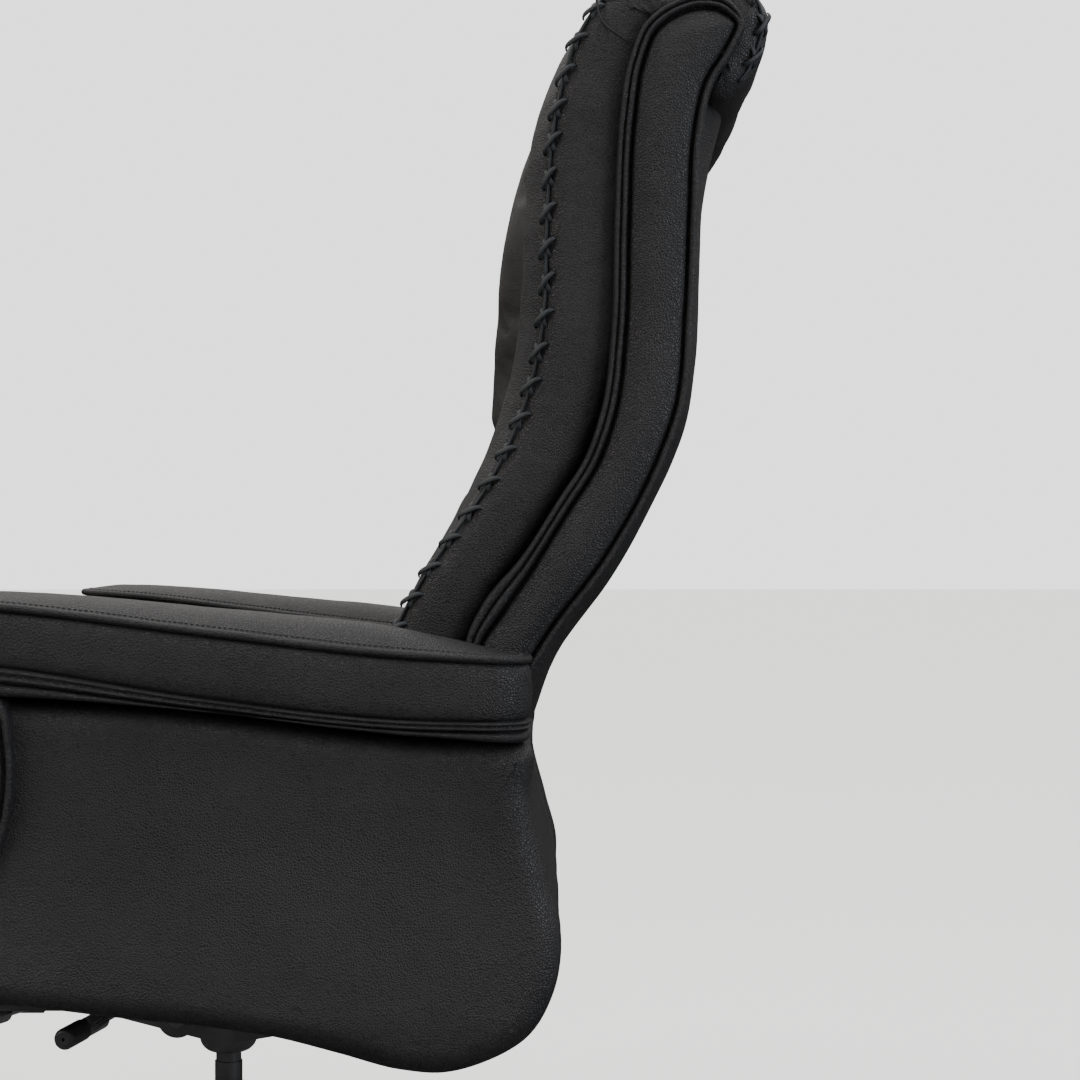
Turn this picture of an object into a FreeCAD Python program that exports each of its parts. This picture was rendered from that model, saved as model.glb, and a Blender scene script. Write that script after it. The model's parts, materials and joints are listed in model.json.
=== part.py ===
import FreeCAD, Part

import math
import os

# Executive desk chair with closed upholstered arms, a laced back with side wings and a rolled head pillow, on a
# tilting mechanism, a gas lift and a five-star base with twin-wheel casters.
# Millimetres, +Z up. The chair faces -Y, and the origin is on the floor on the gas lift's axis.
# Everything that tilts is laid out from the seat board's underside, SEAT_Z.

V = FreeCAD.Vector
X_AXIS = V(1, 0, 0)
Y_AXIS = V(0, 1, 0)
Z_AXIS = V(0, 0, 1)

# Fits
RUN = 0.05  # radial clearance of a pin that turns or slides in its bore
BOLT_CLEAR = 0.15  # radial clearance round a bolt
SEAM = 0.5  # between two padded pieces that lie against each other

# Casters
CASTER_COUNT = 5
CASTER_REACH = 300.0  # from the lift's axis to a caster's stem
WHEEL_R = 30.0
WHEEL_WIDTH = 18.0
WHEEL_FILLET = 4.0
WEB = 12.0  # thickness of the caster body between its wheels
WHEEL_PLAY = 0.6  # between a wheel and the web
TRAIL = 20.0  # from the stem to the axle
AXLE_R = 4.0
STEM_R = 5.5
STEM_BOSS_R = 9.0
FENDER_GAP = 2.0
FENDER = 2.5
HEADING_STEP = 47.0  # each caster stands turned this much further than the last

# Star base
BASE_CLEAR = 3.0  # from the casters' fenders to the base's arms
SOCKET_R = 15.0
SOCKET_HEIGHT = 32.0
HUB_R = 38.0
HUB_TOP = 132.0
HUB_BOTTOM = 66.0
RIB_WALL = 5.0
ARM_ROOT_WIDTH = 48.0
ARM_TIP_WIDTH = 30.0
ARM_ROOT_HEIGHT = 42.0
ARM_TIP_HEIGHT = 22.0

# Gas lift
TUBE_R = 25.0
TUBE_WALL = 2.0
TUBE_BOTTOM = 60.0
TUBE_TOP = 226.0
TUBE_FLOOR = 4.0
BUSH_LENGTH = 40.0
BUSH_RIM = 2.5
LIFT_R = 14.0
LIFT_WALL = 2.0
LIFT_TRAVEL = 80.0
LIFT_CAP = 8.0
NECK_R = 12.8
NECK = 10.0
ROD_R = 5.0
PISTON_GAP = 0.1
PISTON_HEIGHT = 10.0
BEARING_R = 12.0
BEARING_HEIGHT = 6.0
CLIP_R = 9.0
CLIP_HEIGHT = 3.0
VALVE_R = 2.5
VALVE_PROUD = 8.0
VALVE_LENGTH = 40.0

# Tilt mechanism
SEAT_Z = 358.0  # underside of the seat board
BOSS_BOTTOM = 264.0
BOSS_R = 29.0
BOSS_TOP = 312.0
LIFT_TOP = 318.0
SHEET = 3.0
PLATE = 4.0
HOUSING_HALF = 38.0  # outside of the housing's walls
EAR_GAP = 3.0
EAR_HALF = 20.0
PIVOT_Y = -45.0
PIVOT_Z = 306.0
SHAFT_R = 6.0
SHAFT_HEAD_R = 9.0
SHAFT_HEAD = 3.0
SPRING_WIRE_R = 1.8
SPRING_R = SHAFT_R + 0.3 + SPRING_WIRE_R
SPRING_TURNS = 4
SPRING_PITCH = 4.6
SPRING_START = 8.0  # from the middle of the shaft to a spring's first turn
SPRING_REACH = 50.0  # how far behind the shaft a spring's rear leg ends
PLATE_HALF = 95.0
PLATE_FRONT = -175.0
PLATE_REAR = 125.0
FLANGE_DROP = 14.0
PLATE_BOLT_INSET = 18.0
BOLT_R = 4.0
BOLT_HEAD_R = 7.5
BOLT_HEAD = 5.0
BOLT_DEPTH = 14.0

# Levers and tension adjuster
LEVER_R = 5.0
SLEEVE_R = 9.0
SLEEVE_LENGTH = 46.0
GRIP_R = 10.0
GRIP_LENGTH = 42.0
LEVER_HOLE_PLAY = 0.7
LEVER_REACH = 230.0
LEVER_Z = 326.0
HEIGHT_LEVER_Y = -76.0
HEIGHT_LEVER_TIP = (-118.0, 325.0)
LOCK_LEVER_Y = -160.0
LOCK_LEVER_TIP = (-215.0, 336.0)
TONGUE = 3.0
TONGUE_WIDTH = 14.0
PRESS_GAP = 0.3
SCREW_R = 5.0
SCREW_Z = 322.0
SCREW_END = -112.0
KNOB_R = 20.0
KNOB_LENGTH = 34.0
KNOB_FRONT = -222.0
NUT_HALF = 12.0
NUT_REAR = -118.0
NUT_LENGTH = 14.0
NUT_UNDER = 7.0  # from the screw's axis down to the nut's underside, clear of the housing's floor
NUT_OVER = 9.0

# Seat
ARM_INNER = 262.0  # from the middle of the chair to an arm's inner face
FRAME_FRONT = -272.0
FRAME_REAR = 211.5
BOARD = 18.0
RAIL_WIDTH = 38.0
FRAME_HEIGHT = 42.0
CUSHION_SIDE_GAP = 3.0
CUSHION_FRONT = -300.0
CUSHION_REAR = 117.0
CUSHION_TOP = 170.0
CUSHION_NOSE_R = 55.0

# Arms
ARM_BOARD = 18.0
ARM_OUTER = 360.0
ARM_FRONT = -212.0
ARM_REAR = 309.0
ARM_BOARD_REAR = 296.0
ARM_BOARD_FOOT = 10.0
POST_FRONT = -222.0
POST_ARC_R = 212.0  # of the curved seam between the front post and the side panel
POST_ARC_Y = -132.0
POST_ARC_Z = 223.0
POST_LOW = 62.0

# Back
BACK_LOW = 112.0
BACK_HIGH = 884.0
BACK_HALF = 258.0  # outside of the wings
WING = 26.0
BOLSTER_OUTER = 246.0
BOLSTER_INNER = 150.0
PILLOW_SPLIT = 500.0  # where the upper centre pillow meets the lower one
SHELL = 14.0
SHELL_FOOT = 4.0
OUTER_BACK_LOW = 244.5
OUTER_BACK_HIGH = 807.0
SKIRT_FRONT = 245.0
BRACKET_X = 150.0
BRACKET_HALF = 25.0
BRACKET_SHEET = 4.5
BRACKET_RUN = 100.0
BRACKET_RISE = 100.0

# Outlines of the upholstery, as (y, height over SEAT_Z). Back lines give y at evenly spaced heights from
# BACK_LOW to BACK_HIGH.
BOLSTER_FRONT_LINE = (120, 130, 157, 198, 244, 280.5, 298, 302, 311, 346)
CENTRE_FRONT_LINE = (118, 128, 155, 196, 243, 273.5, 279.5, 285, 309, 346)
SHELL_FRONT_LINE = (212, 218, 245, 295, 353, 393, 403, 406, 410.5, 428)
OUTER_BACK_LINE = (307, 334.5, 383.5, 423.5, 454.5, 465.5, 468.5, 472, 486)
WING_OUTLINE = (
    (250, 333), (264, 364), (300, 408), (333, 459), (357, 497), (372, 540), (381, 610), (384, 710),
    (389, 806), (397, 856), (412, 891), (436, 909), (462, 916), (487, 911), (502, 892), (491, 862),
    (475, 836), (464, 790), (460, 720), (456, 629), (447, 540), (429, 490), (380, 400), (331, 335),
    (306, 296), (280, 262), (254, 272), (246, 302),
)  # fmt: skip
ROLL_TOP_LINE = (
    (350, 885), (357, 900), (374, 924), (404, 942), (445, 950), (484, 944), (512, 928), (527, 900),
    (521, 868), (508, 840), (503, 826),
)  # fmt: skip
SIDE_REAR_LINE = (
    (306, 244), (308, 200), (323, 132), (335.5, 77), (328, 30), (308, -3), (266, -27), (232, -35),
)  # fmt: skip
SIDE_BOTTOM_LINE = ((232, -35), (198, -32.5), (147, -19), (78, -2), (27, 5.5), (-58, 14), (-143, 23), (-212, 27))
ARM_UNDER_LINE = ((-212, 292), (-24, 282), (95, 267.5), (232, 251), (309, 245))
ARM_TOP_LINE = ((309, 317), (282, 326), (247, 335), (194, 344), (37, 362), (-89, 375), (-155, 378), (-212, 378))


def box(x0, x1, y0, y1, z0, z1):
    return Part.makeBox(x1 - x0, y1 - y0, z1 - z0, V(x0, y0, z0))


def upright(radius, z0, z1, x=0.0, y=0.0):
    return Part.makeCylinder(radius, z1 - z0, V(x, y, z0), Z_AXIS)


def ring(outer, inner, z0, z1):
    return upright(outer, z0, z1).cut(upright(inner, z0, z1))


def rod(radius, start, end):
    return Part.makeCylinder(radius, (end - start).Length, start, end - start)


def mirrored(shape):
    """The same piece on the other side of the chair."""
    return shape.mirror(V(0, 0, 0), X_AXIS)


def fused(shapes):
    whole = shapes[0].fuse(shapes[1:])
    return whole.removeSplitter()


def line_through(points, x):
    """One edge at x through (y, z) points: straight for two of them, a smooth curve for more."""
    corners = [V(x, y, z) for y, z in points]
    if len(corners) == 2:
        return Part.makeLine(corners[0], corners[1])
    curve = Part.BSplineCurve()
    curve.interpolate(corners)
    return curve.toShape()


def smooth_loop(points, x):
    """One closed smooth edge at x through (y, z) points."""
    curve = Part.BSplineCurve()
    curve.interpolate(Points=[V(x, y, z) for y, z in points], PeriodicFlag=True)
    return curve.toShape()


def slab(x0, x1, *lines):
    """A solid from x0 to x1 whose outline follows the lines, with straight joins between them."""
    edges = []
    for k, points in enumerate(lines):
        following = lines[(k + 1) % len(lines)]
        edges.append(line_through(points, x0))
        if points[-1] != following[0]:
            edges.append(line_through((points[-1], following[0]), x0))
    face = Part.Face(Part.Wire(edges))
    return face.extrude(V(x1 - x0, 0, 0))


def raised(points, shift=0.0):
    """Outline points over SEAT_Z as points over the floor, moved shift along Y."""
    return tuple((y + shift, SEAT_Z + z) for y, z in points)


def back_line(ys, shift=0.0, low=BACK_LOW, high=BACK_HIGH):
    """A line up the back: ys at evenly spaced heights from low to high."""
    step = (high - low) / (len(ys) - 1)
    return raised([(y, low + k * step) for k, y in enumerate(ys)], shift)


def height_on(points, y):
    """Height at y on the straight runs between an outline's points."""
    ordered = sorted(points)
    for (y0, z0), (y1, z1) in zip(ordered, ordered[1:]):
        if y0 <= y <= y1:
            return z0 + (z1 - z0) * (y - y0) / (y1 - y0)
    nearest = ordered[0] if y < ordered[0][0] else ordered[-1]
    return nearest[1]


# ---------------------------------------------------------------- casters and base


def fender_r():
    return WHEEL_R + FENDER_GAP + FENDER


def base_underside():
    return WHEEL_R + fender_r() + BASE_CLEAR


def caster_places():
    """(name, angle of its arm, angle it is turned to) for each caster; the first arm points to the front."""
    for k in range(CASTER_COUNT):
        arm = -90.0 + k * 360.0 / CASTER_COUNT
        yield f"caster_{k + 1}", arm, arm + 90.0 + k * HEADING_STEP


def placed(shape, arm, heading):
    """Moves a caster's piece from the origin to the end of its arm, turned to its heading."""
    turned = shape.copy()
    turned.rotate(V(0, 0, 0), Z_AXIS, heading)
    reach = math.radians(arm)
    turned.translate(V(CASTER_REACH * math.cos(reach), CASTER_REACH * math.sin(reach), 0))
    return turned


def across(radius, y0, y1):
    """A cylinder along a caster's axle line."""
    return rod(radius, V(TRAIL, y0, WHEEL_R), V(TRAIL, y1, WHEEL_R))


def caster_half_width():
    return WEB / 2 + WHEEL_PLAY + WHEEL_WIDTH


def caster_housing():
    half = caster_half_width()
    inner = WHEEL_R + FENDER_GAP
    web = across(fender_r(), -WEB / 2, WEB / 2)
    hood = across(fender_r(), -half, half).cut(across(inner, -half, half))
    body = web.fuse(hood)
    below = box(-fender_r(), TRAIL + fender_r() + 1, -half, half, -fender_r(), WHEEL_R - SOCKET_R)
    front = box(TRAIL + WHEEL_R * 0.6, TRAIL + fender_r() + 1, -half, half, 0, WHEEL_R * 1.2)
    body = body.cut(below.fuse(front))
    boss = upright(STEM_BOSS_R, WHEEL_R, WHEEL_R + fender_r() + 1)
    side_clear = across(WHEEL_R + FENDER_GAP, WEB / 2, half).fuse(across(WHEEL_R + FENDER_GAP, -half, -WEB / 2))
    body = fused([body, boss.cut(side_clear)])
    stem_hole = upright(STEM_R + RUN, WHEEL_R + AXLE_R + 6, WHEEL_R + fender_r() + 2)
    return body.cut(stem_hole).cut(across(AXLE_R + RUN, -half, half))


def caster_pins():
    half = caster_half_width()
    stem = upright(STEM_R, WHEEL_R + AXLE_R + 6.5, base_underside() + SOCKET_HEIGHT - 6)
    collar = upright(STEM_R + 2.5, WHEEL_R + fender_r() + 1.2, base_underside() - 0.4)
    return Part.makeCompound([stem.fuse(collar), across(AXLE_R, 3.5 - half, half - 3.5)])


def caster_wheel(side):
    inner = WEB / 2 + WHEEL_PLAY
    tyre = across(WHEEL_R, inner, inner + WHEEL_WIDTH)
    rims = [e for e in tyre.Edges if e.Closed and abs(e.Curve.Radius - WHEEL_R) < 0.01]
    tyre = tyre.makeFillet(WHEEL_FILLET, rims)
    face = inner + WHEEL_WIDTH
    dish = across(WHEEL_R - 8, face - 2.5, face).cut(across(AXLE_R + 5, face - 2.5, face))
    wheel = tyre.cut(dish).cut(across(AXLE_R + RUN, inner - 1, face - 2.5))
    return wheel if side > 0 else wheel.mirror(V(0, 0, 0), Y_AXIS)


def arm_profile(shrink, half_width):
    """Side view of a base arm, extruded across: it rises towards the hub and thickens."""
    tip, root = base_underside(), HUB_TOP - ARM_ROOT_HEIGHT
    rise = ((0.0, 0.0), (0.3, 0.42), (0.65, 0.78), (1.0, 1.0))
    reach = CASTER_REACH - HUB_R + 3
    upper, lower = [], []
    for t, share in rise:
        y = CASTER_REACH - t * reach
        bottom = tip + (root - tip - 6) * share
        height = ARM_TIP_HEIGHT + t * (ARM_ROOT_HEIGHT - ARM_TIP_HEIGHT)
        upper.append((y, bottom + height - shrink))
        lower.append((y, bottom - shrink))
    arm = slab(-half_width, half_width, upper, tuple(reversed(lower)))
    arm.rotate(V(0, 0, 0), Z_AXIS, -90)
    return arm


def arm_plan(inset):
    """Top view of a base arm: it narrows towards the caster."""
    root, tip = ARM_ROOT_WIDTH / 2 - inset, ARM_TIP_WIDTH / 2 - inset
    corners = [V(0, -root, 0), V(CASTER_REACH, -tip, 0), V(CASTER_REACH, tip, 0), V(0, root, 0), V(0, -root, 0)]
    return Part.Face(Part.makePolygon(corners)).extrude(V(0, 0, HUB_TOP * 2))


def base_arm():
    """A pressed arm, open underneath, with a socket for the caster's stem."""
    tip = base_underside()
    arm = arm_profile(0, ARM_ROOT_WIDTH).common(arm_plan(0))
    hollow = arm_profile(RIB_WALL, ARM_ROOT_WIDTH).common(arm_plan(RIB_WALL))
    arm = arm.cut(hollow.common(box(HUB_R, CASTER_REACH - SOCKET_R - 2, -ARM_ROOT_WIDTH, ARM_ROOT_WIDTH, 0, HUB_TOP)))
    socket = upright(SOCKET_R, tip, tip + SOCKET_HEIGHT, CASTER_REACH)
    rim = [e for e in socket.Edges if e.Closed and abs(e.BoundBox.ZMax - tip - SOCKET_HEIGHT) < 0.01]
    return arm.fuse(socket.makeFillet(5, rim))


def star_base():
    hub = upright(HUB_R, HUB_BOTTOM, HUB_TOP)
    rim = [e for e in hub.Edges if e.Closed and abs(e.BoundBox.ZMin - HUB_TOP) < 0.01]
    pieces = [hub.makeFillet(6, rim)]
    for _, arm, _ in caster_places():
        piece = base_arm()
        piece.rotate(V(0, 0, 0), Z_AXIS, arm)
        pieces.append(piece)
    star = fused(pieces).cut(upright(TUBE_R + RUN, 0, HUB_TOP + 1))
    for _, arm, _ in caster_places():
        reach = math.radians(arm)
        place = (CASTER_REACH * math.cos(reach), CASTER_REACH * math.sin(reach))
        star = star.cut(upright(STEM_R + RUN, 0, base_underside() + SOCKET_HEIGHT - 5, *place))
    return star


# ---------------------------------------------------------------- gas lift


def lift_outer_tube():
    tube = ring(TUBE_R, TUBE_R - TUBE_WALL, TUBE_BOTTOM, TUBE_TOP)
    floor = ring(TUBE_R - TUBE_WALL, ROD_R + RUN, TUBE_BOTTOM, TUBE_BOTTOM + TUBE_FLOOR)
    return fused([tube, floor])


def lift_guide_bush():
    sleeve = ring(TUBE_R - TUBE_WALL - RUN, LIFT_R + RUN, TUBE_TOP - BUSH_LENGTH, TUBE_TOP)
    rim = ring(TUBE_R, LIFT_R + RUN, TUBE_TOP, TUBE_TOP + BUSH_RIM)
    return fused([sleeve, rim])


def lift_low_end():
    """Where the moving cylinder ends at rest, so that it still fills the bush at full travel."""
    return TUBE_TOP - BUSH_LENGTH - LIFT_TRAVEL - 14


def lift_cylinder():
    low = lift_low_end()
    wide_top = BOSS_BOTTOM - NECK
    outer = fused([
        upright(LIFT_R, low, wide_top),
        upright(NECK_R, wide_top, BOSS_BOTTOM + 2),
        upright(LIFT_R, BOSS_BOTTOM + 2, LIFT_TOP),
    ])
    room_top = valve_low() + VALVE_PROUD
    room = upright(NECK_R - LIFT_WALL, low + LIFT_CAP, room_top)
    cylinder = outer.cut(room)
    cylinder = cylinder.cut(upright(ROD_R + RUN, low - 1, low + LIFT_CAP))
    return cylinder.cut(upright(VALVE_R + RUN, room_top, LIFT_TOP + 1))


def valve_low():
    return LIFT_TOP + VALVE_PROUD - VALVE_LENGTH


def valve_pin():
    return upright(VALVE_R, valve_low(), LIFT_TOP + VALVE_PROUD)


def lift_piston_rod():
    """Its shoulder stands on the thrust bearing, its foot holds the clip and its head is the piston."""
    seat = TUBE_BOTTOM + TUBE_FLOOR + BEARING_HEIGHT
    head_top = valve_low() - 4
    return fused([
        upright(ROD_R, TUBE_BOTTOM - CLIP_HEIGHT - 4, head_top),
        upright(ROD_R + 3, seat, seat + 4),
        upright(NECK_R - LIFT_WALL - PISTON_GAP, head_top - PISTON_HEIGHT, head_top),
    ])


def lift_bearing():
    """The thrust bearing inside the tube and the clip that holds the rod under it."""
    low = TUBE_BOTTOM + TUBE_FLOOR
    bearing = ring(BEARING_R, ROD_R + RUN, low, low + BEARING_HEIGHT)
    clip = ring(CLIP_R, ROD_R + RUN, TUBE_BOTTOM - CLIP_HEIGHT - 0.3, TUBE_BOTTOM - 0.3)
    return Part.makeCompound([bearing, clip.cut(box(-2, 2, 0, CLIP_R + 1, 0, TUBE_BOTTOM))])


# ---------------------------------------------------------------- tilt mechanism


def housing_floor_line():
    return ((62, 288), (20, 281), (-12, 281), (-120, 309), (-180, 313))


def housing_wall(x0, x1):
    top = ((-180, 341), (-60, 345), (-30, 338), (62, 318))
    points = [V(x0, y, z) for y, z in (*housing_floor_line(), *top)]
    face = Part.Face(Part.makePolygon([*points, points[0]]))
    return face.extrude(V(x1 - x0, 0, 0))


def housing_floor():
    low = [V(-HOUSING_HALF, y, z) for y, z in housing_floor_line()]
    high = [p + V(0, 0, SHEET) for p in reversed(low)]
    face = Part.Face(Part.makePolygon([*low, *high, low[0]]))
    return face.extrude(V(2 * HOUSING_HALF, 0, 0))


def boss():
    """The bowl-shaped socket that the lift's cylinder seats in."""
    bowl_top = BOSS_BOTTOM + BOSS_R - LIFT_R
    bore = LIFT_R + RUN
    edges = [
        Part.makeLine(V(bore, 0, BOSS_BOTTOM), V(bore + 1.5, 0, BOSS_BOTTOM)),
        Part.Arc(
            V(bore + 1.5, 0, BOSS_BOTTOM),
            V(BOSS_R - 4.2, 0, BOSS_BOTTOM + 4.6),
            V(BOSS_R, 0, bowl_top),
        ).toShape(),
        Part.makeLine(V(BOSS_R, 0, bowl_top), V(BOSS_R, 0, bowl_top + 8)),
        Part.makeLine(V(BOSS_R, 0, bowl_top + 8), V(bore + 5, 0, bowl_top + 14)),
        Part.makeLine(V(bore + 5, 0, bowl_top + 14), V(bore + 5, 0, BOSS_TOP)),
        Part.makeLine(V(bore + 5, 0, BOSS_TOP), V(bore, 0, BOSS_TOP)),
        Part.makeLine(V(bore, 0, BOSS_TOP), V(bore, 0, BOSS_BOTTOM)),
    ]
    return Part.Face(Part.Wire(edges)).revolve(V(0, 0, 0), Z_AXIS, 360)


def lever_start(y):
    return V(TONGUE_WIDTH, y, LEVER_Z)


def lever_end(tip):
    return V(LEVER_REACH, tip[0], tip[1])


def mech_housing():
    half = HOUSING_HALF
    front = box(-half, half, -183, -180, 313, 341)
    rear = box(-half, half, 59, 62, 288, 318)
    walls = [housing_wall(half - SHEET, half), housing_wall(-half, SHEET - half)]
    body = fused([housing_floor(), *walls, front, rear, boss()])
    body = body.cut(upright(LIFT_R + RUN, BOSS_BOTTOM - 1, BOSS_TOP + 1))
    body = body.cut(rod(SHAFT_R + RUN, V(-half - 1, PIVOT_Y, PIVOT_Z), V(half + 1, PIVOT_Y, PIVOT_Z)))
    body = body.cut(rod(SCREW_R + RUN, V(0, -184, SCREW_Z), V(0, -170, SCREW_Z)))
    for y, tip in ((HEIGHT_LEVER_Y, HEIGHT_LEVER_TIP), (LOCK_LEVER_Y, LOCK_LEVER_TIP)):
        body = body.cut(rod(LEVER_R + LEVER_HOLE_PLAY, lever_start(y), lever_end(tip)))
    return body


def tilt_shaft():
    half = HOUSING_HALF + EAR_GAP + PLATE
    shaft = rod(SHAFT_R, V(-half - 2, PIVOT_Y, PIVOT_Z), V(half + 2, PIVOT_Y, PIVOT_Z))
    heads = [
        rod(SHAFT_HEAD_R, V(s * (half + 0.3), PIVOT_Y, PIVOT_Z), V(s * (half + 0.3 + SHAFT_HEAD), PIVOT_Y, PIVOT_Z))
        for s in (-1, 1)
    ]
    return fused([shaft, *heads])


def tilt_spring():
    """A coil round the shaft: one leg runs forward to the tension nut, the other up to the plate above."""
    height = SPRING_TURNS * SPRING_PITCH
    profile = Part.Wire(Part.makeCircle(SPRING_WIRE_R, V(SPRING_R, 0, 0), Y_AXIS))
    coil = Part.Wire(Part.makeHelix(SPRING_PITCH, height, SPRING_R)).makePipeShell([profile], True, True)
    coil.rotate(V(0, 0, 0), Y_AXIS, -90)
    coil.translate(V(-SPRING_START, PIVOT_Y, PIVOT_Z))
    top = PIVOT_Z + SPRING_R
    first, last = -SPRING_START, -SPRING_START - height
    under_plate = SEAT_Z - PLATE - 0.3 - SPRING_WIRE_R
    front_leg = rod(SPRING_WIRE_R, V(first, PIVOT_Y + 1, top), V(first, NUT_REAR + 0.3, top))
    rear_leg = rod(SPRING_WIRE_R, V(last, PIVOT_Y - 1, top), V(last, PIVOT_Y + SPRING_REACH, under_plate))
    return fused([coil, front_leg, rear_leg])


def tilt_springs():
    right = tilt_spring()
    return Part.makeCompound([right, mirrored(right)])


def mech_top_plate():
    """The plate under the seat: it hangs on the shaft by two ears and is bolted to the seat board."""
    top, low = SEAT_Z, SEAT_Z - PLATE
    plate = box(-PLATE_HALF, PLATE_HALF, PLATE_FRONT, PLATE_REAR, low, top)
    flanges = [
        box(x, x + SHEET, PLATE_FRONT, PLATE_REAR, low - FLANGE_DROP, low) for x in (-PLATE_HALF, PLATE_HALF - SHEET)
    ]
    ears = []
    for side in (-1, 1):
        inner = side * (HOUSING_HALF + EAR_GAP)
        outer = side * (HOUSING_HALF + EAR_GAP + PLATE)
        x0, x1 = min(inner, outer), max(inner, outer)
        ears.append(box(x0, x1, PIVOT_Y - EAR_HALF, PIVOT_Y + EAR_HALF, PIVOT_Z, low))
        ears.append(rod(EAR_HALF, V(x0, PIVOT_Y, PIVOT_Z), V(x1, PIVOT_Y, PIVOT_Z)).cut(
            box(x0, x1, PIVOT_Y - EAR_HALF, PIVOT_Y + EAR_HALF, PIVOT_Z, low + PLATE * 5)))
    body = fused([plate, *flanges, *ears])
    reach = HOUSING_HALF + EAR_GAP + PLATE + 1
    body = body.cut(rod(SHAFT_R + RUN, V(-reach, PIVOT_Y, PIVOT_Z), V(reach, PIVOT_Y, PIVOT_Z)))
    for x, y in plate_bolt_places():
        body = body.cut(upright(BOLT_R + BOLT_CLEAR, low - 1, top + 1, x, y))
    return body


def plate_bolt_places():
    x = PLATE_HALF - PLATE_BOLT_INSET
    ys = (PLATE_FRONT + PLATE_BOLT_INSET, PLATE_REAR - PLATE_BOLT_INSET)
    return [(side * x, y) for side in (-1, 1) for y in ys]


def mech_bolts():
    low = SEAT_Z - PLATE
    bolts = []
    for x, y in plate_bolt_places():
        head = upright(BOLT_HEAD_R, low - BOLT_HEAD, low, x, y)
        bolts.append(head.fuse(upright(BOLT_R, low, SEAT_Z + BOLT_DEPTH, x, y)))
    return Part.makeCompound(bolts)


# ---------------------------------------------------------------- levers and tension adjuster


def lever_point(y, tip, back):
    """A point on a lever's line, back from its tip."""
    start, end = lever_start(y), lever_end(tip)
    along = end - start
    return end - along * (back / along.Length)


def lever_rod(y, tip):
    """The steel rod with the wide chromed sleeve that ends at the grip."""
    sleeve_out = lever_point(y, tip, GRIP_LENGTH)
    sleeve_in = lever_point(y, tip, GRIP_LENGTH + SLEEVE_LENGTH)
    shank_out = lever_point(y, tip, GRIP_LENGTH * 0.4)
    return fused([rod(LEVER_R, lever_start(y), shank_out), rod(SLEEVE_R, sleeve_in, sleeve_out)])


def lever_grip(y, tip):
    inner = lever_point(y, tip, GRIP_LENGTH)
    outer = lever_end(tip)
    grip = rod(GRIP_R, inner, outer)
    rims = [e for e in grip.Edges if e.Closed and (e.CenterOfMass - outer).Length < 0.01]
    grip = grip.makeFillet(4, rims)
    socket = rod(LEVER_R + RUN, inner, lever_point(y, tip, GRIP_LENGTH * 0.4 - 0.5))
    dimple = rod(1.6, lever_point(y, tip, 6), outer)
    return grip.cut(socket).cut(dimple)


def height_lever_rod():
    """The lever ends in a tongue that lies over the lift's valve pin."""
    low = LIFT_TOP + VALVE_PROUD + PRESS_GAP
    half = TONGUE_WIDTH / 2
    outer = half + TONGUE_WIDTH
    along = box(half, outer, HEIGHT_LEVER_Y - half, half, low, low + TONGUE)
    over = box(-half, outer, -half, half, low, low + TONGUE)
    return fused([lever_rod(HEIGHT_LEVER_Y, HEIGHT_LEVER_TIP), along, over])


def lock_lever_rod():
    """The lever ends in a pawl inside the housing."""
    half = TONGUE_WIDTH / 2
    outer = HOUSING_HALF - 8
    pawl = box(NUT_HALF + 2, outer, LOCK_LEVER_Y - half, LOCK_LEVER_Y + half, LEVER_Z - TONGUE, LEVER_Z + TONGUE)
    return fused([lever_rod(LOCK_LEVER_Y, LOCK_LEVER_TIP), pawl])


def tension_knob():
    """A fluted knob in front of the housing, on the adjusting screw."""
    knob = rod(KNOB_R, V(0, KNOB_FRONT, SCREW_Z), V(0, KNOB_FRONT + KNOB_LENGTH, SCREW_Z))
    rims = [e for e in knob.Edges if e.Closed and abs(e.CenterOfMass.y - KNOB_FRONT) < 0.01]
    knob = knob.makeFillet(4, rims)
    flutes = 12
    for k in range(flutes):
        turn = 2 * math.pi * k / flutes
        x, z = KNOB_R * 1.1 * math.cos(turn), SCREW_Z + KNOB_R * 1.1 * math.sin(turn)
        knob = knob.cut(rod(3.2, V(x, KNOB_FRONT - 1, z), V(x, KNOB_FRONT + KNOB_LENGTH - 6, z)))
    return knob.cut(rod(SCREW_R, V(0, KNOB_FRONT + 12, SCREW_Z), V(0, KNOB_FRONT + KNOB_LENGTH, SCREW_Z)))


def tension_screw():
    return rod(SCREW_R, V(0, KNOB_FRONT + 12, SCREW_Z), V(0, SCREW_END + 8, SCREW_Z))


def tension_nut():
    nut = box(-NUT_HALF, NUT_HALF, NUT_REAR - NUT_LENGTH, NUT_REAR, SCREW_Z - NUT_UNDER, SCREW_Z + NUT_OVER)
    return nut.cut(rod(SCREW_R + RUN, V(0, NUT_REAR - NUT_LENGTH - 1, SCREW_Z), V(0, NUT_REAR + 1, SCREW_Z)))


# ---------------------------------------------------------------- seat


def seat_frame():
    """A board with rails round its edge, that carries the cushion, the arms and the back."""
    half = ARM_INNER
    frame = box(-half, half, FRAME_FRONT, FRAME_REAR, SEAT_Z, SEAT_Z + FRAME_HEIGHT)
    well = box(
        RAIL_WIDTH - half, half - RAIL_WIDTH, FRAME_FRONT + RAIL_WIDTH, FRAME_REAR - RAIL_WIDTH,
        SEAT_Z + BOARD, SEAT_Z + FRAME_HEIGHT,
    )  # fmt: skip
    frame = frame.cut(well)
    for x, y in plate_bolt_places():
        frame = frame.cut(upright(BOLT_R + BOLT_CLEAR, SEAT_Z - 1, SEAT_Z + BOLT_DEPTH + 1, x, y))
    for start, end in (*arm_bolt_lines(), *back_bolt_lines()):
        frame = frame.cut(rod(BOLT_R + BOLT_CLEAR, start, end + (end - start) * 0.05))
    return frame


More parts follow.
